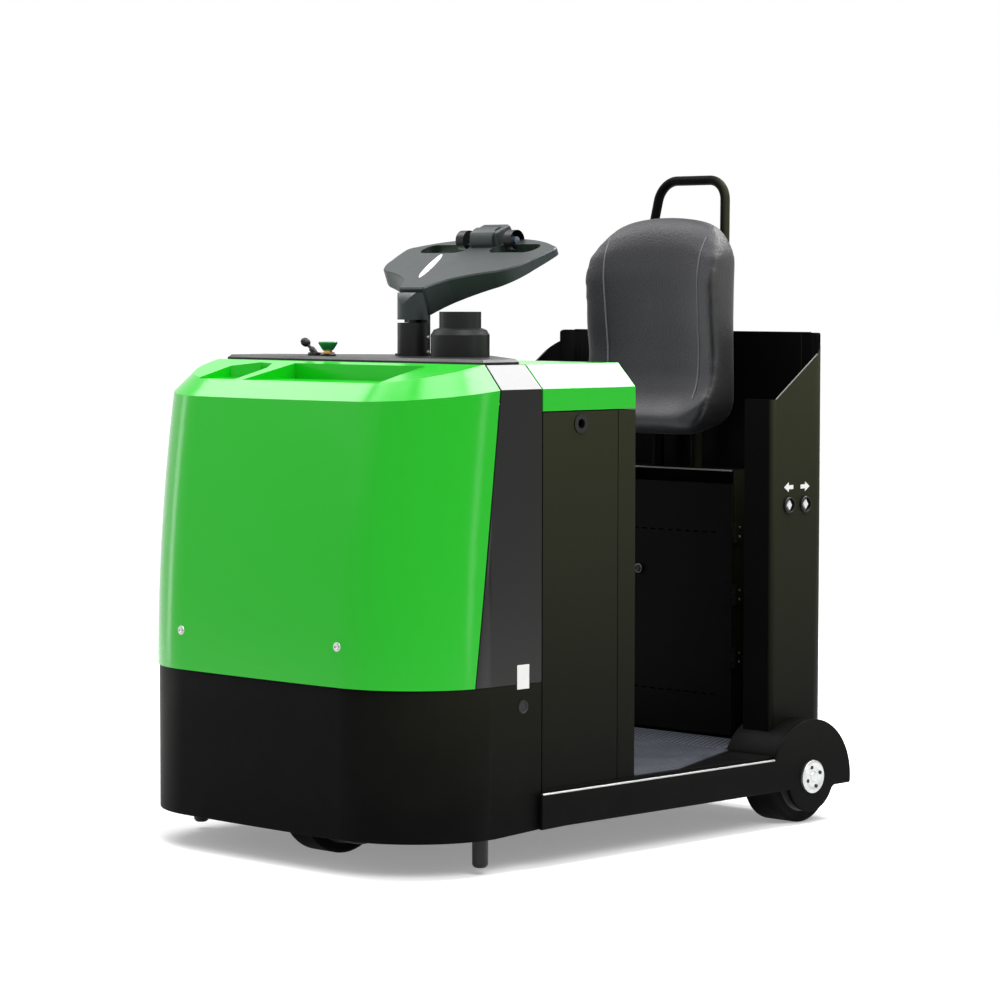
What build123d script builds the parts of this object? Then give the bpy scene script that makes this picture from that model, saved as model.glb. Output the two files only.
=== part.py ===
# Electric stand-on tow tractor for airport baggage: three wheels, front hood, low floor and a lean seat.
# +X forward, +Y left, +Z up, origin on the floor under the middle of the outline box, millimetres.
from build123d import *
from math import cos, radians, sin, sqrt
import os

os.makedirs("parts", exist_ok=True)

# Layout, measured back from the drive axle
wheelbase = 953.0
front_reach = 208.0
rear_wall_back = 1067.0
coupling_reach = 112.0
drive_x = (rear_wall_back + coupling_reach - front_reach) / 2
rear_x = drive_x - wheelbase
wall_x = drive_x - rear_wall_back

# Body sections, measured back from the drive axle
panel_back = 146.0  # vertical seam between side panel and battery compartment
post_back = 363.0  # front edge of the rear post
body_back = 413.0  # operator's face of the battery compartment
seam_back = 31.5  # hood's rear edge, at the height where the side turns into the chamfer
panel_x = drive_x - panel_back
post_x = drive_x - post_back
body_x = drive_x - body_back

# Widths and heights of the body
body_half = 434.0
skirt_bottom = 69.0
rail_bottom = 77.0
rail_height = 143.0  # top of the side plates, a little under the floor
hood_bottom = 362.0
edge_height = 928.0
chamfer_size = 47.0
top_height = edge_height + chamfer_size
cover_drop = 43.0  # battery cover's lower edge under the height of its side edge
cover_bottom = edge_height - cover_drop
front_drop = 12.0  # the front curves back this much at the sides
corner_radius = 212.0
seam_lean = 6.5  # degrees
seam_gap = 2.0

# Sheet and plate
skirt_plate = 8.0
skirt_set_back = 5.0  # skirt behind the hood at the front
hood_wall = 4.0
sheet = 3.0
side_plate = 10.0
mat_thick = 4.0
floor_plate = 6.0
floor_height = 151.0
seat_on = 0.3  # clearance where a curved face stands against another piece
bore_clearance = 0.05

# Hood
middle_height = 690.0
middle_set_back = 18.0
crown_set_back = 60.0  # set back of the front at the top
top_slope = 7.0  # degrees, the lower edge of the hood's chamfer falls towards the front
crown_slope = 12.3  # degrees, the hood's top falls faster, so the chamfer narrows
tray_drop = 35.0  # level floor of the two trays, under the hood's highest line
tray_plan = [(150, -128), (-14, -128), (-14, 248), (60, 250), (150, 262)]  # ahead of the drive axle, sideways
ledge_plan = [(150, -150), (30, -165), (-8, -190), (-14, -232), (20, -285), (75, -275), (150, -262)]

# Side plates and load wheels
plate_proud = 13.0  # side plates stand this far outside the body
plate_half = body_half + plate_proud
load_radius = 99.0
load_width = 85.0
load_tread = 24.0
load_axle = 17.5
wheel_gap = 15.0  # between side plate and load wheel
load_y = plate_half - side_plate - wheel_gap - load_width / 2
cover_drop_under = 9.0  # middle of the wheel cover under the axle
cover_height = load_radius - cover_drop_under
cover_gap = 29.0  # between tyre and wheel cover, at the sides
cover_round = load_radius + cover_gap
cover_reach = 141.0
plate_round = cover_round + 2
plate_cut = 74.0  # level lower edge of the round plate behind the axle
boss_round = 74.0
cap_radius = 35.0
cap_thick = 6.0
rib_thick = 10.0
rib_bottom = 88.0
ear_round = 36.0  # ring round the axle in each rib
notch_inner = plate_half - cover_reach
rib_y = notch_inner - rib_thick / 2

# Drive unit
drive_radius = 115.0
drive_width = 75.0
drive_tread = 20.0
drive_axle = 20.0
gear_near = 46.0  # gearbox's face beside the wheel, from the middle
gear_thick = 54.0
gear_round = drive_radius - 23
gear_neck = 70.0
gear_edge = 14.0
turn_radius = 120.0
turn_thick = 22.0
mount_drop = 36.0
mount_height = hood_bottom - mount_drop  # underside of the plate that carries the drive unit
mount_thick = 14.0
motor_radius = 88.0
motor_tall = 280.0

# Steering and console
console_thick = 10.0
console_height = top_height + console_thick
console_edge = 63.0
console_half = body_half - console_edge
console_tongue = 96.0
console_back = 360.0
column_back = 222.0
column_x = drive_x - column_back
column_radius = 33.5
column_tall = 67.0
column_top = console_height + column_tall
shaft_radius = 12.0
knuckle_tall = 63.0
head_height = column_top + knuckle_tall
head_slope = 22.0
head_ahead = 30.0  # head's front edge ahead of the column's axis
keel_depth = 66.5
keel_rise_back = 0.083
keel_rise_side = 0.143

# Rear
wing_in = 51.0  # wings stand this far inside the side plates
wing_half = plate_half - wing_in
wing_deep = 188.0
wing_front_x = wall_x + wing_deep
flange_width = 76.0
wing_bend = 12.0  # bend at the front edge of a wing
cowl_bend = 50.0  # bend from wing to rear wall
wing_step = 14.0  # the rear wall's full height reaches this far forward
wing_low_top = 891.0
wing_rise = 112.0
wing_high_top = wing_low_top + wing_rise
wall_proud = 26.0  # rear wall over the wings
wall_top = wing_high_top + wall_proud
wall_thick = 4.0
box_deep = 88.0
box_front_x = wall_x + box_deep
box_half = 205.0
box_top = 733.0
seat_half = 180.0
seat_lift = 71.0
seat_tall = 474.0
seat_bottom = box_top + seat_lift
seat_top = seat_bottom + seat_tall
seat_back = 58.0  # rear face of the pad ahead of the rear wall
seat_thick = 100.0
seat_rear_x = wall_x + seat_back
seat_front_x = seat_rear_x + seat_thick
frame_plate = 5.0
post_radius = 13.0
post_tall = 260.0
handle_half = 84.0
handle_foot_half = 134.0
handle_tube = 10.5
handle_foot_x = seat_rear_x - seat_on - frame_plate - handle_tube
handle_foot = seat_bottom + 208
handle_tall = 357.0
handle_top = handle_foot + handle_tall
handle_lean = 8.5  # degrees
handle_bend = 50.0

# Tow coupling
coupling_height = 330.0
jaw_plate = 16.0
jaw_gap = 62.0
jaw_round = 44.0
tow_pin_radius = 13.0
tow_pin_bore = 14.0
tow_pin_x = wall_x - coupling_reach + jaw_round


def write(solid, name):
    solid.label = name
    export_step(solid, "parts/" + name + ".step")


# Plan of the front: an arc across, round corners, straight sides back to the rear line
def front_plan(plane, reach, half, radius, rear):
    edge = drive_x + reach - front_drop
    with BuildSketch(plane) as plan:
        with BuildLine():
            ThreePointArc((edge, -half), (drive_x + reach, 0), (edge, half))
            Polyline((edge, half), (rear, half), (rear, -half), (edge, -half))
        make_face()
        fillet(plan.vertices().group_by(Axis.X)[1], radius)
    return plan.sketch


# Cross-section of the body: upright sides, a chamfer and a flat top
def body_section(x, half, bottom, top):
    inner = half - chamfer_size
    with BuildSketch(Plane(origin=(x, 0, 0), x_dir=(0, 1, 0), z_dir=(1, 0, 0))) as section:
        with BuildLine():
            Polyline((-half, bottom), (-half, top - chamfer_size), (-inner, top), (inner, top),
                     (half, top - chamfer_size), (half, bottom), close=True)
        make_face()
    return section.sketch


# Plane of the hood's leaning rear edge, moved back by a distance, facing forward
def seam_plane(back):
    lean = radians(seam_lean)
    return Plane(origin=(drive_x - seam_back - back, 0, edge_height), x_dir=(0, 1, 0),
                 z_dir=(cos(lean), 0, sin(lean)))


# Front skirt: one thick plate bent round the front, open below and behind
skirt_reach = front_reach - skirt_set_back
skirt_rise = 0.05  # the lower edge rises towards the rail behind this line
skirt_rise_back = 20.0
with BuildPart() as front_skirt:
    extrude(front_plan(Plane.XY.offset(skirt_bottom), skirt_reach, body_half, corner_radius, panel_x),
            amount=hood_bottom - skirt_bottom)
    extrude(front_plan(Plane.XY.offset(skirt_bottom), skirt_reach - skirt_plate, body_half - skirt_plate,
                       corner_radius - skirt_plate, panel_x - 1),
            amount=hood_bottom - skirt_bottom, mode=Mode.SUBTRACT)
    skirt_edge = Plane(origin=(drive_x - skirt_rise_back, 0, skirt_bottom), z_dir=(skirt_rise, 0, 1))
    split(bisect_by=skirt_edge, keep=Keep.TOP)
write(front_skirt.part, "front_skirt")


# Solid shape of the hood, moved inwards by its wall where asked
def hood_shape(inset, bottom):
    levels = [  # height, set back of the front, set in of the sides
        (bottom, 0.0, 0.0),
        (middle_height, middle_set_back, 0.0),
        (top_height + 20, crown_set_back, 0.0),
    ]
    rear = panel_x
    with BuildPart() as shape:
        sections = []
        for height, back, side in levels:
            level = Plane.XY.offset(height)
            sections.append(front_plan(level, front_reach - back - inset, body_half - side - inset,
                                       corner_radius - inset, rear))
        loft(sections)
        lean = radians(top_slope)
        split(bisect_by=Plane(origin=(drive_x - seam_back, 0, top_height - inset), x_dir=(0, 1, 0),
                              z_dir=(sin(lean), 0, cos(lean))), keep=Keep.BOTTOM)
        crown = shape.faces().sort_by(Axis.Z)[-1]
        edges = crown.edges().sort_by(Axis.X)[1:]
        chamfer(edges, chamfer_size)
        fall = radians(crown_slope)
        split(bisect_by=Plane(origin=(drive_x - seam_back, 0, top_height - inset), x_dir=(0, 1, 0),
                              z_dir=(sin(fall), 0, cos(fall))), keep=Keep.BOTTOM)
        split(bisect_by=seam_plane(0), keep=Keep.TOP)
    return shape.part


# Room over the trays in the hood's top: level floors that run out on the sloping top in front
def tray_room(grow):
    with BuildPart() as room:
        with BuildSketch(Plane.XY.offset(top_height - tray_drop - grow)):
            for plan in (tray_plan, ledge_plan):
                with BuildLine():
                    Polyline(*[(drive_x + ahead, y) for ahead, y in plan], close=True)
                make_face()
            if grow > 0:
                offset(amount=grow, kind=Kind.INTERSECTION)
        extrude(amount=tray_drop + 2 * hood_wall)
    return room.part


with BuildPart() as hood_core:
    add(hood_shape(hood_wall, hood_bottom - 1))
    add(tray_room(hood_wall), mode=Mode.SUBTRACT)
with BuildPart() as hood:
    add(hood_shape(0, hood_bottom))
    add(tray_room(0), mode=Mode.SUBTRACT)
    add(hood_core.part, mode=Mode.SUBTRACT)
write(hood.part, "hood")


# Mid hoop: formed sheet round the body between hood and battery cover, its front edge leaning
hoop_blank = panel_back + 80  # length before its front is cut to the hood's edge
hoop_tall = top_height - hood_bottom


def hoop_shape(inset):
    with BuildPart() as shape:
        extrude(body_section(panel_x, body_half - inset, hood_bottom, top_height - inset), amount=hoop_blank)
        extrude(front_plan(Plane.XY.offset(hood_bottom), front_reach - inset, body_half - inset,
                           corner_radius - inset, panel_x), amount=hoop_tall, mode=Mode.INTERSECT)
    return shape.part


with BuildPart() as mid_hoop:
    add(hoop_shape(0))
    add(hoop_shape(sheet), mode=Mode.SUBTRACT)
    split(bisect_by=seam_plane(seam_gap), keep=Keep.BOTTOM)
write(mid_hoop.part, "mid_hoop")


# Plan of the console: full width at the hood, a tongue towards the operator
def console_plan(plane, grow):
    with BuildSketch(plane) as plan:
        with BuildLine():
            Polyline((drive_x - seam_back - 14 + grow, -console_half - grow),
                     (panel_x, -console_half - grow),
                     (drive_x - console_back - grow, -console_tongue - grow),
                     (drive_x - console_back - grow, console_tongue + grow),
                     (panel_x, console_half + grow),
                     (drive_x - seam_back - 14 + grow, console_half + grow), close=True)
        make_face()
    return plan.sketch


with BuildPart() as console:
    extrude(console_plan(Plane.XY.offset(top_height), 0), amount=console_height - top_height)
    chamfer(console.faces().sort_by(Axis.Z)[-1].edges(), 6)
    with BuildSketch(Plane.XY.offset(console_height)):
        with Locations((column_x, 0)):
            Circle(shaft_radius + bore_clearance)
    extrude(amount=-(console_height - top_height), mode=Mode.SUBTRACT)
write(console.part, "console")

# Battery cover: open below and in front, with a rear wall
with BuildPart() as battery_cover:
    extrude(body_section(body_x, body_half, cover_bottom, top_height),
            amount=body_back - panel_back - seam_gap)
    extrude(body_section(body_x + sheet, body_half - sheet, cover_bottom - 1, top_height - sheet),
            amount=body_back - panel_back, mode=Mode.SUBTRACT)
write(battery_cover.part, "battery_cover")

# Battery compartment: rear wall with its edges folded forward as posts
with BuildPart() as battery_bulkhead:
    with BuildSketch(Plane.XY.offset(floor_height)):
        with Locations(((body_x + post_x) / 2, 0)):
            Rectangle(post_x - body_x, 2 * body_half)
    extrude(amount=cover_bottom - seam_gap - floor_height)
    with BuildSketch(Plane.XY.offset(floor_height)):
        with Locations(((body_x + post_x) / 2 + sheet, 0)):
            Rectangle(post_x - body_x, 2 * (body_half - sheet))
    extrude(amount=cover_bottom - seam_gap - floor_height, mode=Mode.SUBTRACT)
write(battery_bulkhead.part, "battery_bulkhead")

# Battery side panels standing on the floor plate, each with a finger ring in a hole
ring_x = drive_x - 254.0
ring_height = 859.0
ring_outer = 19.0
ring_seat = 16.0
ring_hole = 9.5
side_faces = []
for side in (1, -1):
    side_faces.append((side, Plane(origin=(0, side * body_half, 0), x_dir=(1, 0, 0), z_dir=(0, -1, 0))))
for side, face in side_faces:
    with BuildPart() as panel:
        with BuildSketch(face):
            with Locations(((panel_x + post_x) / 2, (floor_height + cover_bottom - seam_gap) / 2)):
                Rectangle(panel_x - post_x - 2 * seam_gap, cover_bottom - seam_gap - floor_height)
        extrude(amount=side * sheet)
        with BuildSketch(face):
            with Locations((ring_x, ring_height)):
                Circle(ring_seat)
        extrude(amount=side * sheet, mode=Mode.SUBTRACT)
    write(panel.part, "battery_side_left" if side > 0 else "battery_side_right")
with BuildPart() as panel_rings:
    for side, face in side_faces:
        for radius, out, into in ((ring_outer, 2.5, 0), (ring_seat - bore_clearance, 0, sheet + 5)):
            with BuildSketch(face):
                with Locations((ring_x, ring_height)):
                    Circle(radius)
                    Circle(ring_hole, mode=Mode.SUBTRACT)
            extrude(amount=side * (into - out))
write(panel_rings.part, "panel_rings")

# Battery: one heavy block on the floor plate
battery_gap = 25.0
battery_tall = 640.0
with BuildPart() as battery_block:
    with BuildSketch(Plane.XY.offset(floor_height)):
        with Locations(((panel_x + body_x) / 2, 0)):
            Rectangle(body_back - panel_back - 2 * battery_gap, 2 * (body_half - 2 * battery_gap))
    extrude(amount=battery_tall)
write(battery_block.part, "battery_block")

# Base frame: floor plate with wheel notches, long ribs under it and inner ears for the load wheel axles
cover_front = rear_x + sqrt(cover_round ** 2 - (floor_height - cover_height) ** 2)
notch_front = cover_front - sheet
frame_end = wall_x + wall_thick
under = floor_height - floor_plate
with BuildPart() as base_frame:
    with BuildSketch(Plane.XY.offset(floor_height)):
        with Locations(((panel_x + frame_end) / 2, 0)):
            Rectangle(panel_x - frame_end, 2 * (plate_half - side_plate))
        for side in (1, -1):
            with Locations(((wall_x + notch_front) / 2, side * (plate_half + notch_inner) / 2)):
                Rectangle(notch_front - wall_x, plate_half - notch_inner, mode=Mode.SUBTRACT)
    extrude(amount=-floor_plate)
    with BuildSketch(Plane.XY.offset(under)):
        for side in (1, -1):
            with Locations(((panel_x + frame_end) / 2, side * rib_y)):
                Rectangle(panel_x - frame_end, rib_thick)
            with Locations(((panel_x + notch_front) / 2, side * (plate_half - side_plate - rib_thick / 2))):
                Rectangle(panel_x - notch_front, rib_thick)
        for x in (panel_x - rib_thick / 2, (panel_x + body_x) / 2, body_x - 60, rear_x + 170,
                  frame_end + rib_thick / 2):
            with Locations((x, 0)):
                Rectangle(rib_thick, 2 * rib_y)
    extrude(amount=rib_bottom - under)
    for side in (1, -1):
        ear = Plane(origin=(0, side * (rib_y - rib_thick / 2), 0), x_dir=(1, 0, 0), z_dir=(0, -1, 0))
        with BuildSketch(ear):
            with Locations((rear_x, load_radius)):
                Circle(ear_round)
        extrude(amount=-side * rib_thick)
        with BuildSketch(ear):
            with Locations((rear_x, load_radius)):
                Circle(load_axle + bore_clearance)
        extrude(amount=-side * rib_thick, mode=Mode.SUBTRACT)
write(base_frame.part, "base_frame")

# Anti-slip mat on the floor, its rear outer corners cut towards the wheel covers
mat_half = plate_half - 16
mat_bend = rear_x + 402
mat_edge = [(body_x - 4, mat_half), (mat_bend, mat_half), (cover_front + 8, notch_inner + 14),
            (cover_front + 8, notch_inner - 4), (box_front_x + 8, notch_inner - 4)]
with BuildPart() as floor_mat:
    with BuildSketch(Plane.XY.offset(floor_height)):
        with BuildLine():
            far_edge = [(x, -y) for x, y in mat_edge]
            Polyline(*mat_edge, *far_edge[::-1], close=True)
        make_face()
    extrude(amount=mat_thick)
write(floor_mat.part, "floor_mat")

# Side plates: rail and round wheel plate in one
for side, name in ((1, "left"), (-1, "right")):
    face = Plane(origin=(0, side * plate_half, 0), x_dir=(1, 0, 0), z_dir=(0, -1, 0))
    with BuildPart() as plate:
        with BuildSketch(face) as outline:
            with BuildLine():
                Polyline((panel_x + 11, rail_bottom - 2), (panel_x + 11, rail_height), (rear_x, rail_height),
                         (rear_x, rail_bottom), (panel_x - 60, rail_bottom), close=True)
            make_face()
            with Locations((rear_x, cover_height)):
                Circle(plate_round)
            with Locations((rear_x - plate_round, plate_cut - plate_round / 2)):
                Rectangle(2 * plate_round, plate_round, mode=Mode.SUBTRACT)
            with Locations((rear_x + plate_round, rail_bottom - plate_round / 2)):
                Rectangle(2 * plate_round, plate_round, mode=Mode.SUBTRACT)
            with Locations((rear_x, load_radius)):
                Circle(boss_round)
            for end, radius in ((0, 5), (-1, 16)):
                cut_ends = outline.vertices().filter_by_position(Axis.Y, plate_cut - 0.1, plate_cut + 0.1)
                fillet(cut_ends.sort_by(Axis.X)[end], radius)
        extrude(amount=side * side_plate)
        with BuildSketch(face):
            with Locations((rear_x, load_radius)):
                Circle(load_axle + bore_clearance)
        extrude(amount=side * side_plate, mode=Mode.SUBTRACT)
    write(plate.part, "side_plate_" + name)

    # Half-round cover over the load wheel
    inward = Plane(origin=(0, side * (plate_half - side_plate), 0), x_dir=(1, 0, 0), z_dir=(0, -1, 0))
    reach = cover_reach - side_plate
    with BuildPart() as cover:
        with BuildSketch(inward):
            with Locations((rear_x, cover_height)):
                Circle(cover_round)
                Circle(cover_round - sheet, mode=Mode.SUBTRACT)
        extrude(amount=side * reach)
        with BuildSketch(inward.offset(side * reach)):
            with Locations((rear_x, cover_height)):
                Circle(cover_round)
        extrude(amount=-side * sheet)
        with BuildSketch(inward):
            with Locations((rear_x, plate_cut - cover_round)):
                Rectangle(4 * cover_round, 2 * cover_round)
            with Locations((rear_x + cover_round, floor_height / 2)):
                Rectangle(2 * cover_round, floor_height)
            with Locations((rear_x, load_radius)):
                Circle(load_axle + bore_clearance)
        extrude(amount=side * reach, mode=Mode.SUBTRACT)
    write(cover.part, "wheel_cover_" + name)

    # Load wheel: hub with a web and its tyre, turning on a fixed axle with an outer cap
    middle = Plane(origin=(rear_x, side * load_y, load_radius), x_dir=(1, 0, 0), z_dir=(0, side, 0))
    with BuildPart() as hub:
        with BuildSketch(middle.offset(-load_width / 2)):
            Circle(load_radius - load_tread)
            Circle(load_axle + bore_clearance, mode=Mode.SUBTRACT)
        extrude(amount=load_width)
        for end in (-1, 1):
            with BuildSketch(middle.offset(end * load_width / 2)):
                Circle(load_radius - load_tread - 9)
                Circle(load_axle + 11, mode=Mode.SUBTRACT)
            extrude(amount=-end * 14, mode=Mode.SUBTRACT)
    write(hub.part, "load_hub_" + name)
    with BuildPart() as tyre:
        with BuildSketch(middle.offset(-load_width / 2)):
            Circle(load_radius)
            Circle(load_radius - load_tread, mode=Mode.SUBTRACT)
        extrude(amount=load_width)
        chamfer(tyre.edges().filter_by(GeomType.CIRCLE).group_by(SortBy.RADIUS)[-1], 6)
    write(tyre.part, "load_tyre_" + name)

# Fixed axles of the load wheels, each with its cap outside the side plate
with BuildPart() as load_axles:
    for side in (1, -1):
        inner_end = rib_y - rib_thick / 2 - 2
        with BuildSketch(Plane(origin=(rear_x, side * inner_end, load_radius), z_dir=(0, side, 0))):
            Circle(load_axle)
        extrude(amount=plate_half - inner_end)
        with BuildSketch(Plane(origin=(rear_x, side * plate_half, load_radius), z_dir=(0, side, 0))):
            Circle(cap_radius)
        extrude(amount=cap_thick)
    rims = load_axles.edges().filter_by(GeomType.CIRCLE).sort_by(Axis.Y)
    fillet([rims[0], rims[-1]], 2)
write(load_axles.part, "load_axles")

# Anti-tip studs inside the skirt, each on a block welded to it
stud_lift = 13.5
stud_radius = 15.5
stud_in = 17.5
stud_y = body_half - skirt_plate - stud_in
stud_x = drive_x - 3
stud_tall = 250.0
block_low = skirt_bottom + 72
block_tall = 40.0
with BuildPart() as stud_blocks:
    with BuildSketch(Plane.XY.offset(block_low)):
        for side in (1, -1):
            with Locations((stud_x, side * stud_y)):
                Rectangle(4 * stud_radius, 2 * stud_in)
    extrude(amount=block_tall)
    extrude(front_plan(Plane.XY.offset(block_low), skirt_reach - skirt_plate, body_half - skirt_plate,
                       corner_radius - skirt_plate, panel_x), amount=block_tall, mode=Mode.INTERSECT)
with BuildPart() as tip_studs:
    for side in (1, -1):
        with BuildSketch(Plane.XY.offset(stud_lift)):
            with Locations((stud_x, side * stud_y)):
                Circle(stud_radius)
        extrude(amount=stud_tall)
    fillet(tip_studs.edges().group_by(Axis.Z)[0], 9)
    add(stud_blocks.part)
write(tip_studs.part, "tip_studs")

# Drive unit: carrier plate, turning plate, motor, gearbox, wheel
with BuildPart() as drive_carrier:
    extrude(front_plan(Plane.XY.offset(mount_height), skirt_reach - skirt_plate - 60, body_half - skirt_plate,
                       corner_radius, panel_x), amount=mount_thick)
    with BuildSketch(Plane.XY.offset(mount_height)):
        with Locations((drive_x, 0)):
            Circle(motor_radius + 8)
    extrude(amount=mount_thick, mode=Mode.SUBTRACT)
    with BuildSketch(Plane.XY.offset(floor_height)):
        with Locations((panel_x + 4, 0)):
            Rectangle(8, 2 * (body_half - skirt_plate))
    extrude(amount=mount_height - floor_height)
write(drive_carrier.part, "drive_carrier")

with BuildPart() as turn_plate:
    with BuildSketch(Plane.XY.offset(mount_height - seat_on)):
        with Locations((drive_x, 0)):
            Circle(turn_radius)
    extrude(amount=-turn_thick)
write(turn_plate.part, "turn_plate")

with BuildPart() as drive_motor:
    with BuildSketch(Plane.XY.offset(mount_height - seat_on)):
        with Locations((drive_x, 0)):
            Circle(motor_radius)
    extrude(amount=motor_tall)
    fillet(drive_motor.edges().sort_by(Axis.Z)[-1], 8)
write(drive_motor.part, "drive_motor")

gear_top = mount_height - seat_on - turn_thick
with BuildPart() as gearbox:
    with BuildSketch(Plane(origin=(0, gear_near + gear_thick, 0), x_dir=(1, 0, 0), z_dir=(0, -1, 0))):
        with BuildLine():
            Polyline((drive_x - gear_round, drive_radius), (drive_x - gear_neck, gear_top),
                     (drive_x + gear_neck, gear_top), (drive_x + gear_round, drive_radius), close=True)
        make_face()
        with Locations((drive_x, drive_radius)):
            Circle(gear_round)
    extrude(amount=gear_thick)
    outer_face = gearbox.faces().sort_by(Axis.Y)[-1]
    fillet(outer_face.edges().sort_by(Axis.Z)[:-1], gear_edge)
    with BuildSketch(Plane(origin=(0, gear_near, 0), x_dir=(1, 0, 0), z_dir=(0, -1, 0))):
        with Locations((drive_x, drive_radius)):
            Circle(drive_axle)
    extrude(amount=gear_near + drive_width / 2 - 4)
write(gearbox.part, "gearbox")

spin = Plane(origin=(drive_x, 0, drive_radius), x_dir=(1, 0, 0), z_dir=(0, 1, 0))
with BuildPart() as drive_hub:
    with BuildSketch(spin.offset(-drive_width / 2)):
        Circle(drive_radius - drive_tread)
        Circle(drive_axle + bore_clearance, mode=Mode.SUBTRACT)
    extrude(amount=drive_width)
    with BuildSketch(spin.offset(-drive_width / 2)):
        Circle(drive_radius - drive_tread - 10)
        Circle(drive_axle + 16, mode=Mode.SUBTRACT)
    extrude(amount=20, mode=Mode.SUBTRACT)
write(drive_hub.part, "drive_hub")
with BuildPart() as drive_tyre:
    with BuildSketch(spin.offset(-drive_width / 2)):
        Circle(drive_radius)
        Circle(drive_radius - drive_tread, mode=Mode.SUBTRACT)
    extrude(amount=drive_width)
    chamfer(drive_tyre.edges().filter_by(GeomType.CIRCLE).group_by(SortBy.RADIUS)[-1], 6)
write(drive_tyre.part, "drive_tyre")

# Steering column on the console, with the knuckle and the head turning on it
with BuildPart() as steering_column:
    with BuildSketch(Plane.XY.offset(console_height)):
        with Locations((column_x, 0)):
            Circle(column_radius + 5)
    extrude(amount=5)
    with BuildSketch(Plane.XY.offset(console_height)):
        with Locations((column_x, 0)):
            Circle(column_radius)
    extrude(amount=column_top - console_height)
    with BuildSketch(Plane.XY.offset(console_height)):
        with Locations((column_x, 0)):
            Circle(shaft_radius + bore_clearance)
    extrude(amount=column_top - console_height, mode=Mode.SUBTRACT)
write(steering_column.part, "steering_column")

slope = radians(head_slope)
head_plane = Plane(origin=(column_x + head_ahead, 0, head_height), x_dir=(-cos(slope), 0, sin(slope)),
                   z_dir=(sin(slope), 0, cos(slope)))
knuckle_half = 31.0
knuckle_base = column_top + seat_on
knuckle_notch = 6.0  # open gap in front, between column and knuckle
with BuildPart() as steering_knuckle:
    with BuildSketch(Plane(origin=(column_x, 0, 0), x_dir=(1, 0, 0), z_dir=(0, -1, 0))):
        with BuildLine():
            Line((-column_radius, knuckle_base), (column_radius, knuckle_base))
            Line((column_radius, knuckle_base), (column_radius, head_height - 26))
            ThreePointArc((column_radius, head_height - 26), (column_radius - 7, head_height - 9),
                          (head_ahead - 10, head_height - 2))
            Line((head_ahead - 10, head_height - 2), (-column_radius, head_height - 2))
            Line((-column_radius, head_height - 2), (-column_radius, knuckle_base))
        make_face()
    extrude(amount=column_radius, both=True)
    with BuildSketch(Plane.XY.offset(knuckle_base)):
        with Locations((column_x, 0)):
            Circle(column_radius)
    extrude(amount=200, mode=Mode.INTERSECT)
    with BuildSketch(Plane.XY.offset(knuckle_base)):
        with Locations((column_x + column_radius - 5, 0)):
            Rectangle(2 * column_radius, 2 * column_radius)
    extrude(amount=knuckle_notch, mode=Mode.SUBTRACT)
    with BuildSketch(Plane.XY.offset(knuckle_base + knuckle_notch)):
        with Locations((column_x, 0)):
            Circle(shaft_radius)
    extrude(amount=-(knuckle_base + knuckle_notch - console_height - 8))
write(steering_knuckle.part, "steering_knuckle")

# Steering head: butterfly plan on a slope, keel below, hand openings, a pod with a thumb ring at each end
opening_back = 236.0
opening_side = 101.0
head_pod_back = 278.0
head_pod_half = 44.0
head_pod_tall = 29.0
ring_tall = 5.0  # axis of the thumb rings over the head's face
thumb_ring = 27.0
with BuildPart() as steering_head:
    with BuildSketch(head_plane) as plan:
        with BuildLine():  # back along the slope, sideways
            ThreePointArc((20, 36), (42, 47), (66, 66))
            ThreePointArc((66, 66), (90, 104), (110, 158))
            ThreePointArc((110, 158), (130, 185), (172, 203))
            ThreePointArc((172, 203), (206, 212), (230, 216))
            ThreePointArc((230, 216), (243, 212), (251, 200))
            ThreePointArc((251, 200), (276, 146), (292, 60))
            mirror(about=Plane.XZ)
            Line((20, -36), (20, 36))
            Line((292, 60), (292, -60))
        make_face()
        fillet(plan.vertices(), 8)
        with Locations((opening_back, opening_side), (opening_back, -opening_side)):
            SlotOverall(130, 46, rotation=90, mode=Mode.SUBTRACT)
    extrude(amount=-keel_depth)
    upward = Axis(head_plane.origin, head_plane.z_dir)
    chamfer(steering_head.faces().sort_by(upward)[-1].outer_wire().edges(), 3)
    for side in (1, -1):
        keel = head_plane.from_local_coords(Vector(0, 0, -keel_depth))
        lean_point = head_plane.from_local_coords(Vector(-keel_rise_back, -side * keel_rise_side, 1))
        split(bisect_by=Plane(origin=keel, z_dir=lean_point - head_plane.origin), keep=Keep.TOP)
    with BuildSketch(head_plane.offset(-10)):
        with Locations((head_pod_back, 0)):
            RectangleRounded(62, 2 * head_pod_half, 12)
    extrude(amount=10 + head_pod_tall, taper=9)
    fillet(steering_head.faces().sort_by(upward)[-1].edges(), 7)
    for side in (1, -1):
        hub_side = side * (head_pod_half - 12)
        hub_point = head_plane.from_local_coords(Vector(head_pod_back - 8, hub_side, ring_tall))
        for start, reach, outer, inner in ((0, 26, thumb_ring, 0), (26, 22, thumb_ring, thumb_ring - 6)):
            with BuildSketch(Plane(origin=hub_point, x_dir=(1, 0, 0), z_dir=(0, side, 0)).offset(start)):
                Circle(outer)
                if inner > 0:
                    Circle(inner, mode=Mode.SUBTRACT)
            extrude(amount=reach)
    add(steering_knuckle.part, mode=Mode.SUBTRACT)
write(steering_head.part, "steering_head")

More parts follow.
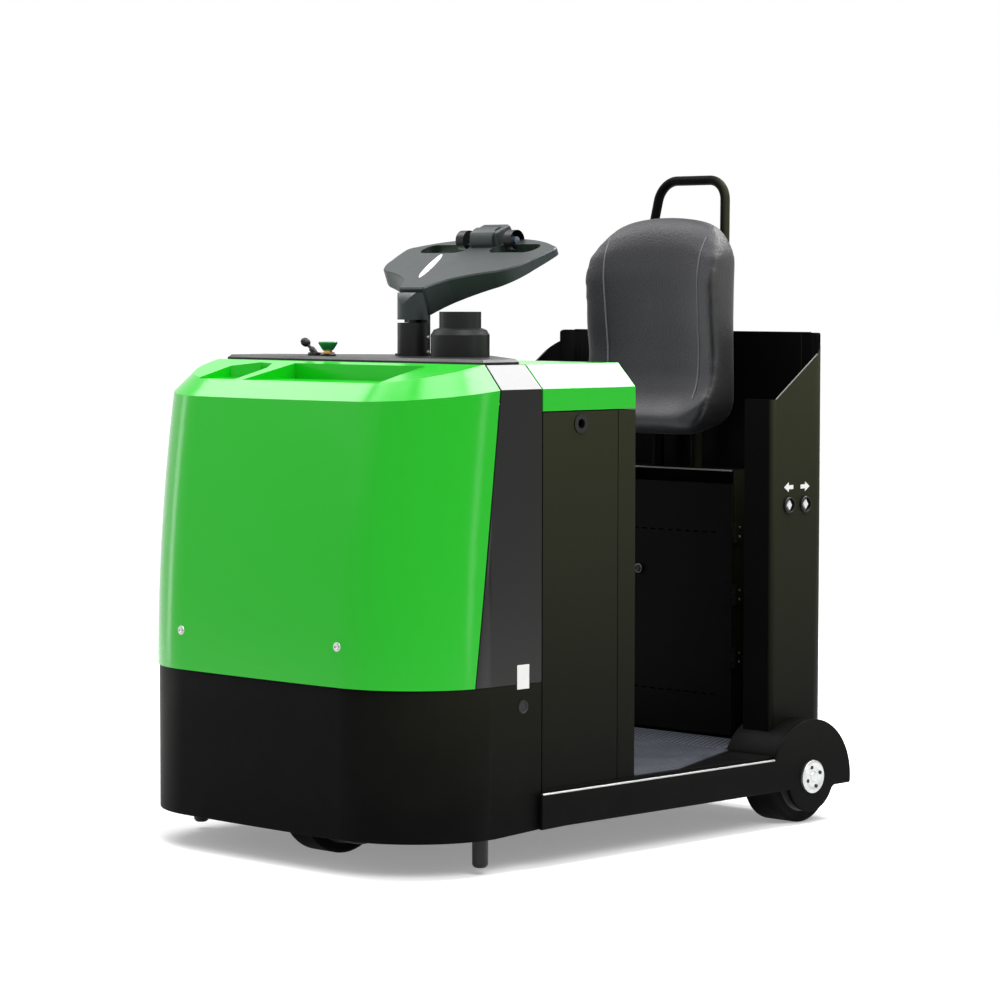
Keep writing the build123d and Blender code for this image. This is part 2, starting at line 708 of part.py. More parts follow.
# Round instrument pod beside the column
pod_y = 133.0
pod_radius = 59.0
pod_neck = 42.0
with BuildPart() as instrument_pod:
    with BuildSketch(Plane(origin=(column_x, pod_y, console_height), x_dir=(1, 0, 0), z_dir=(0, -1, 0))):
        with BuildLine():
            Polyline((0, 0), (pod_radius, 0), (pod_radius, 44), (pod_radius - 6, 54), (pod_neck, 58),
                     (pod_neck, 90), (0, 90), close=True)
        make_face()
    revolve(axis=Axis((column_x, pod_y, 0), (0, 0, 1)))
write(instrument_pod.part, "instrument_pod")

# Emergency stop and key switch on the console
stop_x = drive_x - 87
stop_y = -110.0
key_y = -150.0
with BuildPart() as emergency_stop:
    with BuildSketch(Plane(origin=(stop_x, stop_y, console_height), x_dir=(1, 0, 0), z_dir=(0, -1, 0))):
        with BuildLine():
            Polyline((0, 0), (14, 0), (14, 8), (9, 10), (20, 27), (18, 29), (0, 29), close=True)
        make_face()
    revolve(axis=Axis((stop_x, stop_y, 0), (0, 0, 1)))
write(emergency_stop.part, "emergency_stop")
with BuildPart() as key_switch:
    with BuildSketch(Plane.XY.offset(console_height)):
        with Locations((stop_x, key_y)):
            Circle(14)
    extrude(amount=10)
    with BuildSketch(Plane.XY.offset(console_height)):
        with Locations((stop_x, key_y)):
            Rectangle(8, 22)
    extrude(amount=30)
write(key_switch.part, "key_switch")

# Rear cowl of bent sheet: a wing on each side with a front flange and a round rear corner, and the rear wall
def cowl_plan(inset):
    with BuildSketch(Plane.XY.offset(floor_height)) as plan:
        with Locations(((wall_x + wing_front_x) / 2, 0)):
            Rectangle(wing_deep - 2 * inset, 2 * (wing_half - inset))
        ends = plan.vertices().group_by(Axis.X)
        fillet(ends[-1], wing_bend - inset)
        fillet(plan.vertices().group_by(Axis.X)[0], cowl_bend - inset)
    return plan.sketch


def cover_hollow(side):
    with BuildPart() as hollow:
        plate_face = Plane(origin=(rear_x, side * plate_half, cover_height), x_dir=(1, 0, 0), z_dir=(0, -side, 0))
        with BuildSketch(plate_face):
            Circle(cover_round + seat_on)
        extrude(amount=cover_reach + seat_on)
    return hollow.part


wing_inner = wing_half - flange_width
for side, name in ((1, "left"), (-1, "right")):
    with BuildPart() as wing:
        extrude(cowl_plan(0), amount=wall_top - floor_height)
        extrude(cowl_plan(sheet), amount=wall_top - floor_height, mode=Mode.SUBTRACT)
        wing_plane = Plane(origin=(0, side * wing_inner, 0), x_dir=(1, 0, 0), z_dir=(0, -1, 0))
        with BuildSketch(wing_plane) as profile:
            with BuildLine():
                Polyline((wing_front_x, floor_height), (wing_front_x, wing_low_top),
                         (wing_front_x - wing_bend, wing_low_top), (wall_x + wing_step, wing_high_top),
                         (wall_x + wing_step, wall_top), (wall_x, wall_top), (wall_x, floor_height),
                         close=True)
            make_face()
            fillet(profile.vertices().sort_by(Axis.Y)[-2:].sort_by(Axis.X)[-1], 7)
        extrude(amount=-side * flange_width, mode=Mode.INTERSECT)
        add(cover_hollow(side), mode=Mode.SUBTRACT)
    write(wing.part, "wing_" + name)
with BuildPart() as rear_wall:
    with BuildSketch(Plane(origin=(wall_x, 0, 0), x_dir=(0, 1, 0), z_dir=(1, 0, 0))):
        with Locations((0, (rib_bottom + wall_top) / 2)):
            Rectangle(2 * wing_inner, wall_top - rib_bottom)
    extrude(amount=wall_thick)
    for side in (1, -1):
        add(cover_hollow(side), mode=Mode.SUBTRACT)
write(rear_wall.part, "rear_wall")

# Seat box with a door on three barrel hinges
hinge_pin = 2.5
hinge_barrel = 5.0
hinge_tall = 44.0
hinge_leaf = 2.4
leaf_reach = 26.0
hinge_gap = 0.5
hinge_x = box_front_x + seat_on + sheet / 2
hinge_y = box_half + hinge_barrel + hinge_gap
barrel_third = hinge_tall / 3
door_low = floor_height + mat_thick + 6
door_high = box_top - 30
door_edge = 2.0
door_tall = door_high - door_low
hinge_heights = [door_low + door_tall * share for share in (0.31, 0.56, 0.81)]
with BuildPart() as seat_box:
    with BuildSketch(Plane.XY.offset(floor_height)):
        with Locations(((box_front_x + wall_x + wall_thick) / 2, 0)):
            Rectangle(box_front_x - wall_x - wall_thick, 2 * box_half)
    extrude(amount=box_top - floor_height)
    with BuildSketch(Plane.XY.offset(floor_height + sheet)):
        with Locations(((box_front_x + wall_x + wall_thick) / 2 + sheet, 0)):
            Rectangle(box_front_x - wall_x - wall_thick, 2 * (box_half - sheet))
    extrude(amount=box_top - floor_height - 2 * sheet, mode=Mode.SUBTRACT)
    for height in hinge_heights:
        low = Plane.XY.offset(height - hinge_tall / 2)
        with BuildSketch(low):
            with Locations((hinge_x - hinge_barrel - hinge_gap - leaf_reach / 2, box_half + hinge_leaf / 2)):
                Rectangle(leaf_reach, hinge_leaf)
        extrude(amount=hinge_tall)
        with BuildSketch(low):
            with Locations((hinge_x, hinge_y)):
                Circle(hinge_pin)
        extrude(amount=hinge_tall)
        for start in (0, 2 * barrel_third):
            with BuildSketch(low.offset(start)):
                with Locations((hinge_x, hinge_y)):
                    Circle(hinge_barrel)
                with Locations((hinge_x - hinge_barrel / 2 - 2, box_half + hinge_leaf / 2)):
                    Rectangle(hinge_barrel + 4, hinge_leaf)
            extrude(amount=barrel_third)
write(seat_box.part, "seat_box")

slot_wide = 14.0
slot_tall = 3.5
slot_pitch = 25.0
slot_count = 13
lock_y = -63.0
lock_radius = 11.0
with BuildPart() as box_door:
    outer = Plane(origin=(box_front_x + seat_on, 0, 0), x_dir=(0, 1, 0), z_dir=(1, 0, 0))
    with BuildSketch(outer):
        with Locations((0, (door_low + door_high) / 2)):
            Rectangle(2 * (box_half - door_edge), door_tall)
    extrude(amount=sheet)
    with BuildSketch(outer):
        with Locations((0, door_low + 85), (0, door_high - 106)):
            with GridLocations(slot_pitch, 1, slot_count, 1):
                SlotOverall(slot_wide, slot_tall)
    extrude(amount=sheet, mode=Mode.SUBTRACT)
    with BuildSketch(outer.offset(sheet)):
        with Locations((lock_y, door_high - 195)):
            Circle(lock_radius)
    extrude(amount=5)
    for height in hinge_heights:
        middle = Plane.XY.offset(height - barrel_third / 2 + hinge_gap)
        barrel_door = barrel_third - 2 * hinge_gap
        with BuildSketch(middle):
            with Locations((hinge_x, hinge_y)):
                Circle(hinge_barrel)
            with Locations((hinge_x + sheet / 2 + hinge_leaf / 2, (hinge_y + box_half - door_edge) / 2)):
                Rectangle(hinge_leaf, hinge_y - box_half + door_edge)
        extrude(amount=barrel_door)
        with BuildSketch(Plane.XY.offset(height - hinge_tall / 2)):
            with Locations((hinge_x + sheet / 2 + hinge_leaf / 2, box_half - door_edge - leaf_reach / 2)):
                Rectangle(hinge_leaf, leaf_reach)
        extrude(amount=hinge_tall)
        with BuildSketch(middle):
            with Locations((hinge_x, hinge_y)):
                Circle(hinge_pin + bore_clearance)
        extrude(amount=barrel_door, mode=Mode.SUBTRACT)
write(box_door.part, "box_door")

# Seat: one-piece lean pad on a back plate with two posts
with BuildPart() as seat_pad:
    with BuildSketch(Plane(origin=(0, 0, 0), x_dir=(1, 0, 0), z_dir=(0, -1, 0))):
        with BuildLine():
            Polyline((seat_front_x - 52, seat_top), (seat_rear_x, seat_top), (seat_rear_x, seat_bottom + 20),
                     (seat_front_x - 40, seat_bottom), (seat_front_x - 10, seat_bottom + 4))
            ThreePointArc((seat_front_x - 10, seat_bottom + 4), (seat_front_x, seat_bottom + 30),
                          (seat_front_x - 12, seat_bottom + 72))
            ThreePointArc((seat_front_x - 12, seat_bottom + 72), (seat_front_x - 38, seat_bottom + 190),
                          (seat_front_x - 30, seat_bottom + 320))
            ThreePointArc((seat_front_x - 30, seat_bottom + 320), (seat_front_x - 33, seat_top - 60),
                          (seat_front_x - 52, seat_top))
        make_face()
    extrude(amount=seat_half, both=True)
    with BuildSketch(Plane(origin=(seat_front_x + 10, 0, 0), x_dir=(0, 1, 0), z_dir=(1, 0, 0))):
        with Locations((0, (seat_bottom + seat_top) / 2)):
            RectangleRounded(2 * seat_half, seat_top - seat_bottom, 70)
    extrude(amount=-200, mode=Mode.INTERSECT)
write(seat_pad.part, "seat_pad")
frame_set_in = 30.0  # back plate inside the pad's outline
seat_post_x = seat_rear_x - seat_on - frame_plate - post_radius + 1
seat_post_y = 55.0
with BuildPart() as seat_frame:
    with BuildSketch(Plane(origin=(seat_rear_x - seat_on, 0, 0), x_dir=(0, 1, 0), z_dir=(1, 0, 0))):
        with Locations((0, seat_bottom + seat_tall / 2)):
            RectangleRounded(2 * (seat_half - frame_set_in), seat_tall - 2 * frame_set_in, frame_set_in)
    extrude(amount=-frame_plate)
    with BuildSketch(Plane.XY.offset(box_top)):
        with Locations((seat_post_x, seat_post_y), (seat_post_x, -seat_post_y)):
            Circle(post_radius)
    extrude(amount=post_tall)
write(seat_frame.part, "seat_frame")

# Grab handle: bent tube behind the seat
lean = radians(handle_lean)
with BuildPart() as grab_handle:
    rise = handle_top - handle_tube - handle_foot
    with BuildLine(Plane(origin=(handle_foot_x, 0, handle_foot), x_dir=(0, 1, 0),
                         z_dir=(cos(lean), 0, sin(lean)))) as path:
        top = rise / cos(lean)
        FilletPolyline((-handle_foot_half, 0), (-handle_half - 8, top), (handle_half + 8, top),
                       (handle_foot_half, 0), radius=handle_bend)
    with BuildSketch(Plane(origin=path.line @ 0, z_dir=path.line % 0)):
        Circle(handle_tube)
    sweep()
write(grab_handle.part, "grab_handle")

# Inching buttons on both wings
button_height = 669.0
with BuildPart() as inching_buttons:
    for side in (1, -1):
        for back in (932.0, 985.5):
            for radius, out in ((17, 5), (11, 10)):
                place = (drive_x - back, side * wing_half, button_height)
                with BuildSketch(Plane(origin=place, z_dir=(0, side, 0))):
                    Circle(radius)
                extrude(amount=out)
write(inching_buttons.part, "inching_buttons")

# Tow coupling: back plate, two jaw plates with a cheek between, and a drop pin
with BuildPart() as tow_coupling:
    with BuildSketch(Plane(origin=(wall_x, 0, coupling_height), x_dir=(0, 1, 0), z_dir=(-1, 0, 0))):
        RectangleRounded(2 * 75, 190, 12)
    extrude(amount=12)
    for low in (coupling_height - jaw_gap / 2 - jaw_plate, coupling_height + jaw_gap / 2):
        with BuildSketch(Plane.XY.offset(low)):
            with Locations((tow_pin_x, 0)):
                Circle(jaw_round)
            with Locations(((tow_pin_x + wall_x - 6) / 2, 0)):
                Rectangle(wall_x - 6 - tow_pin_x, 2 * jaw_round)
            with Locations((tow_pin_x, 0)):
                Circle(tow_pin_bore, mode=Mode.SUBTRACT)
        extrude(amount=jaw_plate)
write(tow_coupling.part, "tow_coupling")
with BuildPart() as tow_pin:
    pin_top = coupling_height + jaw_gap / 2 + jaw_plate
    with BuildSketch(Plane.XY.offset(coupling_height - jaw_gap / 2 - jaw_plate - 10)):
        with Locations((tow_pin_x, 0)):
            Circle(tow_pin_radius)
    extrude(amount=jaw_gap + 2 * jaw_plate + 10 + 40)
    with BuildSketch(Plane.XY.offset(pin_top + seat_on)):
        with Locations((tow_pin_x, 0)):
            Circle(tow_pin_radius + 8)
    extrude(amount=8)
    with BuildSketch(Plane.XY.offset(pin_top + 40)):
        with Locations((tow_pin_x, 0)):
            Circle(19)
    extrude(amount=16)
write(tow_pin.part, "tow_pin")
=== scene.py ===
# Airport baggage tug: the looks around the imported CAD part.
# Metres, +X forward, +Y left, +Z up, as in the CAD.
import math

import bmesh
import bpy
from mathutils import Matrix, Vector
from mathutils.bvhtree import BVHTree


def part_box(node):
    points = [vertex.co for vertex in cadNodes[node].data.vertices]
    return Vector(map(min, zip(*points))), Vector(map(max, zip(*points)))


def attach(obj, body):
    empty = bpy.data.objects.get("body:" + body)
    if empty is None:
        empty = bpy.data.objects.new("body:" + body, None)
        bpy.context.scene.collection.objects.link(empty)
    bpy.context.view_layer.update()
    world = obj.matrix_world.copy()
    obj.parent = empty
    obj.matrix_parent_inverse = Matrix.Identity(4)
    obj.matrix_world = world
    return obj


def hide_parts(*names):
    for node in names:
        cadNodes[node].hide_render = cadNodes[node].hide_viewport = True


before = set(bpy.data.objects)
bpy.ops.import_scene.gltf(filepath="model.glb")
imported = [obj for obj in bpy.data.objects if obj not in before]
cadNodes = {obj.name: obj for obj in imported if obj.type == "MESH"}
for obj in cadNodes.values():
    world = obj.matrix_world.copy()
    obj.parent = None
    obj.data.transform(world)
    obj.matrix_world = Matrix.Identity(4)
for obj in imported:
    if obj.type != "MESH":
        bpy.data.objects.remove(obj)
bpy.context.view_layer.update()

print("frame loaded:", len(cadNodes), "nodes")


# One shader node: a socket given as a value is linked, anything else is typed in
def addNode(tree, kind, inputs=None, **settings):
    made = tree.nodes.new(kind)
    for name, value in settings.items():
        setattr(made, name, value)
    for name, value in (inputs or {}).items():
        socket = made.inputs[name]
        if isinstance(value, bpy.types.NodeSocket):
            tree.links.new(value, socket)
        else:
            socket.default_value = value
    return made


def mixColour(tree, share, first, second):
    return addNode(tree, "ShaderNodeMix", {0: share, 6: first, 7: second}, data_type="RGBA").outputs[2]


def doMath(tree, operation, first, second=0.0):
    return addNode(tree, "ShaderNodeMath", {0: first, 1: second}, operation=operation).outputs[0]


def mapRange(tree, value, fromLow, fromHigh, toLow, toHigh):
    spread = {"Value": value, "From Min": fromLow, "From Max": fromHigh, "To Min": toLow, "To Max": toHigh}
    return addNode(tree, "ShaderNodeMapRange", spread).outputs[0]


# Node group with named sockets; inputs are (name, default) and outputs (name, socket type)
def newGroup(name, inputs, outputs):
    group = bpy.data.node_groups.new(name, "ShaderNodeTree")
    for label, value in inputs:
        socket = group.interface.new_socket(name=label, in_out="INPUT", socket_type="NodeSocketFloat")
        socket.default_value = value
    for label, kind in outputs:
        group.interface.new_socket(name=label, in_out="OUTPUT", socket_type=kind)
    return group, addNode(group, "NodeGroupInput"), addNode(group, "NodeGroupOutput")


def fillGroup(tree, group, values):
    made = addNode(tree, "ShaderNodeGroup", None, node_tree=group)
    for name, value in values.items():
        made.inputs[name].default_value = value
    return made


# The object's own coordinates, and noise laid out on them
def objectNoise(tree, scale, detail, roughness=0.5):
    place = addNode(tree, "ShaderNodeTexCoord").outputs["Object"]
    noise = addNode(tree, "ShaderNodeTexNoise", {"Vector": place, "Scale": scale, "Detail": detail,
                                                 "Roughness": roughness})
    return place, noise.outputs["Fac"]


# The faces' own direction, as three numbers
def faceDirection(tree):
    return addNode(tree, "ShaderNodeSeparateXYZ", {0: addNode(tree, "ShaderNodeNewGeometry").outputs["Normal"]}).outputs


# Fine texture of powder coat and moulded plastic
def makeGrain():
    group, given, result = newGroup("surfaceGrain", [("Scale", 900.0), ("Depth", 0.0001), ("Strength", 0.4)],
                                    [("Normal", "NodeSocketVector")])
    _, noise = objectNoise(group, given.outputs["Scale"], 2.0, 0.55)
    bump = addNode(group, "ShaderNodeBump", {"Height": noise, "Distance": given.outputs["Depth"],
                                             "Strength": given.outputs["Strength"]})
    group.links.new(bump.outputs[0], result.inputs["Normal"])
    return group


# Rubbed edges: where a rounded normal leaves the flat one, broken up by noise
def makeEdgeWear():
    group, given, result = newGroup("edgeWear", [("Radius", 0.002), ("Amount", 0.5), ("Scale", 70.0)],
                                    [("Mask", "NodeSocketFloat")])
    rounded = addNode(group, "ShaderNodeBevel", {"Radius": given.outputs["Radius"]}, samples=4)
    flat = addNode(group, "ShaderNodeNewGeometry")
    along = addNode(group, "ShaderNodeVectorMath", {0: rounded.outputs[0], 1: flat.outputs["Normal"]},
                    operation="DOT_PRODUCT").outputs["Value"]
    edge = mapRange(group, along, 0.995, 0.86, 0.0, 1.0)
    _, noise = objectNoise(group, given.outputs["Scale"], 5.0, 0.7)
    broken = mapRange(group, noise, 0.45, 0.7, 0.0, 1.0)
    mask = doMath(group, "MULTIPLY", doMath(group, "MULTIPLY", edge, broken), given.outputs["Amount"])
    group.links.new(mask, result.inputs["Mask"])
    return group


# Floor dust: strongest low down and on faces that look up
def makeDust():
    group, given, result = newGroup("floorDust", [("Amount", 0.2), ("Top", 0.35), ("Scale", 9.0)],
                                    [("Mask", "NodeSocketFloat")])
    place, noise = objectNoise(group, given.outputs["Scale"], 6.0, 0.6)
    axes = addNode(group, "ShaderNodeSeparateXYZ", {0: place})
    low = mapRange(group, axes.outputs["Z"], 0.02, given.outputs["Top"], 1.0, 0.0)
    upward = mapRange(group, faceDirection(group)["Z"], 0.3, 1.0, 0.0, 0.5)
    cloud = mapRange(group, noise, 0.38, 0.72, 0.0, 1.0)
    both = doMath(group, "ADD", low, upward)
    mask = doMath(group, "MULTIPLY", doMath(group, "MULTIPLY", both, cloud), given.outputs["Amount"])
    group.links.new(mask, result.inputs["Mask"])
    return group


# Slow change of gloss over a surface, as from wiping and handling
def makeSmudge():
    group, given, result = newGroup("smudge", [("Scale", 6.0), ("Low", 0.3), ("High", 0.4)],
                                    [("Value", "NodeSocketFloat")])
    _, noise = objectNoise(group, given.outputs["Scale"], 4.0, 0.55)
    value = mapRange(group, noise, 0.3, 0.7, given.outputs["Low"], given.outputs["High"])
    group.links.new(value, result.inputs["Value"])
    return group


# Painted sheen: slow lightening upwards over the outer side panels, standing in for the light they reflect
def makePaintedSheen():
    group, given, result = newGroup("paintedSheenGroup", [("Low", 0.15), ("High", 0.9), ("Amount", 1.0)],
                                    [("Mask", "NodeSocketFloat")])
    place, noise = objectNoise(group, 3.0, 3.0)
    axes = addNode(group, "ShaderNodeSeparateXYZ", {0: place})
    rise = mapRange(group, axes.outputs["Z"], given.outputs["Low"], given.outputs["High"], 0.0, 1.0)
    uneven = mapRange(group, noise, 0.3, 0.7, 0.9, 1.0)
    facing = doMath(group, "MULTIPLY", doMath(group, "SIGN", axes.outputs["Y"]), faceDirection(group)["Y"])
    rise = doMath(group, "MULTIPLY", rise, mapRange(group, facing, 0.1, 0.9, 0.0, 1.0))
    mask = doMath(group, "MULTIPLY", doMath(group, "MULTIPLY", rise, uneven), given.outputs["Amount"])
    group.links.new(mask, result.inputs["Mask"])
    return group


surfaceGrain = makeGrain()
edgeWear = makeEdgeWear()
floorDust = makeDust()
smudge = makeSmudge()
paintedSheenGroup = makePaintedSheen()
print("shared shader groups made")


def newMaterial(name):
    material = bpy.data.materials.new(name)
    material.use_nodes = True
    tree = material.node_tree
    return material, tree, tree.nodes["Principled BSDF"]


# A finish of one base colour: grain, smudges, dust and rubbed edges come from the shared groups, and so does the
# painted sheen up the outer side faces
def makeFinish(name, values):
    material, tree, shader = newMaterial(name)
    colour = (*values["colour"], 1.0)
    dust = fillGroup(tree, floorDust, values.get("dust", {"Amount": 0.1})).outputs["Mask"]
    # Painted sheen: a lighter colour up the outward side faces, standing in for reflected light
    if "paintedSheen" in values:
        sheenMask = fillGroup(tree, paintedSheenGroup, values["paintedSheen"]).outputs["Mask"]
        colour = mixColour(tree, sheenMask, colour, (*values["paintedSheenColour"], 1.0))
    painted = mixColour(tree, dust, colour, (*values.get("dustColour", (0.16, 0.15, 0.13)), 1.0))
    if "wear" in values:
        wear = fillGroup(tree, edgeWear, values["wear"]).outputs["Mask"]
        painted = mixColour(tree, wear, painted, (*values["wearColour"], 1.0))
    tree.links.new(painted, shader.inputs["Base Color"])
    tree.links.new(fillGroup(tree, smudge, values["gloss"]).outputs["Value"], shader.inputs["Roughness"])
    tree.links.new(fillGroup(tree, surfaceGrain, values["grain"]).outputs["Normal"], shader.inputs["Normal"])
    for label, value in values.get("shader", {}).items():
        shader.inputs[label].default_value = value
    return material


greenPaint = {
    "colour": (0.0055, 0.46, 0.0085),
    "gloss": {"Scale": 3.5, "Low": 0.2, "High": 0.27},
    "grain": {"Scale": 60.0, "Depth": 0.0002, "Strength": 0.06},
    "dust": {"Amount": 0.03, "Top": 0.5, "Scale": 7.0},
    "wear": {"Radius": 0.0012, "Amount": 0.2, "Scale": 90.0},
    "wearColour": (0.08, 0.5, 0.07),
    "shader": {"Specular IOR Level": 0.08, "Coat Weight": 0.45, "Coat Roughness": 0.16},
}
glossyBlack = {
    "colour": (0.0009, 0.001, 0.0006),
    "gloss": {"Scale": 4.0, "Low": 0.3, "High": 0.4},
    "grain": {"Scale": 60.0, "Depth": 0.0002, "Strength": 0.06},
    "shader": {"Specular IOR Level": 0.05, "Coat Weight": 0.42, "Coat Roughness": 0.14},
}
blackPaint = {
    "colour": (0.0026, 0.0026, 0.0027),
    # Painted sheen: the black turns olive up the outward side faces, standing in for reflected light
    "paintedSheen": {"Low": 0.12, "High": 0.95},
    "paintedSheenColour": (0.031, 0.0333, 0.0185),
    "gloss": {"Scale": 4.0, "Low": 0.4, "High": 0.5},
    "grain": {"Scale": 1100.0, "Depth": 0.00018, "Strength": 0.55},
    "dust": {"Amount": 0.02, "Top": 0.4, "Scale": 8.0},
    "wear": {"Radius": 0.0014, "Amount": 0.35, "Scale": 120.0},
    "wearColour": (0.05, 0.05, 0.048),
    "shader": {"Specular IOR Level": 0.025},
}
blackPlastic = {
    "colour": (0.006, 0.0062, 0.0065),
    "gloss": {"Scale": 8.0, "Low": 0.34, "High": 0.44},
    "grain": {"Scale": 1500.0, "Depth": 0.0001, "Strength": 0.35},
    "dust": {"Amount": 0.03, "Top": 0.3},
    "wear": {"Radius": 0.001, "Amount": 0.2, "Scale": 150.0},
    "wearColour": (0.05, 0.05, 0.052),
    "shader": {"Specular IOR Level": 0.22},
}
headPlastic = {
    "colour": (0.0125, 0.0165, 0.015),
    "gloss": {"Scale": 9.0, "Low": 0.4, "High": 0.5},
    "grain": {"Scale": 1000.0, "Depth": 0.00012, "Strength": 0.4},
    "dust": {"Amount": 0.03, "Top": 0.3},
    "wear": {"Radius": 0.0014, "Amount": 0.3, "Scale": 110.0},
    "wearColour": (0.1, 0.11, 0.12),
    "shader": {"Specular IOR Level": 0.42, "Specular Tint": (0.84, 0.92, 1.0, 1.0)},
}
greenPlastic = {
    "colour": (0.012, 0.2, 0.05),
    "gloss": {"Scale": 20.0, "Low": 0.18, "High": 0.26},
    "grain": {"Scale": 200.0, "Depth": 0.00005, "Strength": 0.1},
    "shader": {"Specular IOR Level": 0.3, "Coat Weight": 0.2},
}
batteryCase = {
    "colour": (0.05, 0.055, 0.06),
    "gloss": {"Scale": 6.0, "Low": 0.5, "High": 0.62},
    "grain": {"Scale": 700.0, "Depth": 0.0001, "Strength": 0.3},
}
castIron = {
    "colour": (0.03, 0.03, 0.031),
    "gloss": {"Scale": 12.0, "Low": 0.5, "High": 0.7},
    "grain": {"Scale": 420.0, "Depth": 0.0005, "Strength": 0.5},
    "dust": {"Amount": 0.25, "Top": 0.5},
    "wear": {"Radius": 0.002, "Amount": 0.6, "Scale": 80.0},
    "wearColour": (0.16, 0.155, 0.15),
    "shader": {"Metallic": 0.3},
}
motorPaint = {
    "colour": (0.03, 0.032, 0.035),
    "gloss": {"Scale": 8.0, "Low": 0.38, "High": 0.5},
    "grain": {"Scale": 600.0, "Depth": 0.0001, "Strength": 0.3},
}
bareSteel = {
    "colour": (0.48, 0.49, 0.485),
    "gloss": {"Scale": 40.0, "Low": 0.28, "High": 0.46},
    "grain": {"Scale": 260.0, "Depth": 0.0002, "Strength": 0.3},
    "dust": {"Amount": 0.15, "Top": 0.3, "Scale": 40.0},
    "dustColour": (0.1, 0.095, 0.085),
    "shader": {"Metallic": 1.0},
}
matRubber = {
    "colour": (0.034, 0.039, 0.05),
    "gloss": {"Scale": 10.0, "Low": 0.42, "High": 0.58},
    "grain": {"Scale": 500.0, "Depth": 0.0002, "Strength": 0.4},
    "dust": {"Amount": 0.12, "Top": 0.4, "Scale": 12.0},
    "dustColour": (0.15, 0.15, 0.15),
    "shader": {"Specular IOR Level": 0.4},
}
seatSkin = {
    "colour": (0.0075, 0.0072, 0.0115),
    # Painted sheen: the seat's outward side faces lighten upwards, standing in for the light on them
    "paintedSheen": {"Low": 0.3, "High": 1.3, "Amount": 0.7},
    "paintedSheenColour": (0.045, 0.044, 0.04),
    "gloss": {"Scale": 9.0, "Low": 0.42, "High": 0.54},
    "grain": {"Scale": 230.0, "Depth": 0.0011, "Strength": 0.8},
    "dust": {"Amount": 0.05, "Top": 0.3},
    "shader": {"Specular IOR Level": 0.4, "Sheen Weight": 0.06, "Sheen Roughness": 0.4},
}
tyreRubber = {
    "colour": (0.005, 0.005, 0.005),
    "gloss": {"Scale": 18.0, "Low": 0.58, "High": 0.74},
    "grain": {"Scale": 350.0, "Depth": 0.0003, "Strength": 0.35},
    "dust": {"Amount": 0.06, "Top": 0.3, "Scale": 16.0},
    "dustColour": (0.05, 0.048, 0.045),
    "shader": {"Specular IOR Level": 0.04},
}
whiteEnamel = {
    "colour": (0.78, 0.78, 0.76),
    "gloss": {"Scale": 30.0, "Low": 0.3, "High": 0.42},
    "grain": {"Scale": 300.0, "Depth": 0.00005, "Strength": 0.2},
    "dust": {"Amount": 0.08, "Top": 0.6, "Scale": 30.0},
}
brassStem = {
    "colour": (0.55, 0.33, 0.12),
    "gloss": {"Scale": 60.0, "Low": 0.25, "High": 0.4},
    "grain": {"Scale": 400.0, "Depth": 0.00005, "Strength": 0.2},
    "shader": {"Metallic": 1.0},
}
conePlastic = {
    "colour": (0.10, 0.125, 0.16),
    "gloss": {"Scale": 30.0, "Low": 0.2, "High": 0.3},
    "grain": {"Scale": 600.0, "Depth": 0.00005, "Strength": 0.2},
}
seamThread = {
    "colour": (0.11, 0.11, 0.12),
    "gloss": {"Scale": 60.0, "Low": 0.5, "High": 0.6},
    "grain": {"Scale": 900.0, "Depth": 0.0002, "Strength": 0.5},
}
# Pale grey for the wing and box hems and the lock ring: a painted highlight along those edges
paintedEdgeHighlight = {
    "colour": (0.12, 0.122, 0.118),
    "gloss": {"Scale": 60.0, "Low": 0.4, "High": 0.55},
    "grain": {"Scale": 500.0, "Depth": 0.0001, "Strength": 0.4},
}
finishes = {
    "green_paint": makeFinish("greenPaint", greenPaint),
    "green_plastic": makeFinish("greenPlastic", greenPlastic),
    "black_paint": makeFinish("blackPaint", blackPaint),
    "black_plastic": makeFinish("blackPlastic", blackPlastic),
    "head_plastic": makeFinish("headPlastic", headPlastic),
    "battery_case": makeFinish("batteryCase", batteryCase),
    "mat_rubber": makeFinish("matRubber", matRubber),
    "seat_skin": makeFinish("seatSkin", seatSkin),
    "cast_iron": makeFinish("castIron", castIron),
    "bare_steel": makeFinish("bareSteel", bareSteel),
    "motor_paint": makeFinish("motorPaint", motorPaint),
    "tyre": makeFinish("tyreRubber", tyreRubber),
}
looseFinishes = {
    "whiteEnamel": makeFinish("whiteEnamel", whiteEnamel),
    "brassStem": makeFinish("brassStem", brassStem),
    "seamThread": makeFinish("seamThread", seamThread),
    "conePlastic": makeFinish("conePlastic", conePlastic),
    "paintedEdgeHighlight": makeFinish("paintedEdgeHighlight", paintedEdgeHighlight),
}
for node in cadNodes.values():
    given = node.material_slots[0].material.name.split(".")[0]
    node.material_slots[0].material = finishes[given]
cadNodes["mid_hoop"].material_slots[0].material = makeFinish("glossyBlack", glossyBlack)
print("finishes on the nodes")


# Rounds the edges of a CAD node with modifiers, so that they catch the light; its own mesh stays
def softenEdges(name, width):
    node = cadNodes[name]
    node.modifiers.new("joinCorners", "WELD").merge_threshold = 0.000005
    flat = node.modifiers.new("flatFaces", "DECIMATE")
    flat.decimate_type = "DISSOLVE"
    flat.angle_limit = math.radians(0.2)
    bevel = node.modifiers.new("edges", "BEVEL")
    bevel.width = width
    bevel.segments = 2
    bevel.limit_method = "ANGLE"
    bevel.angle_limit = math.radians(35)
    bevel.harden_normals = True
    bevel.use_clamp_overlap = True


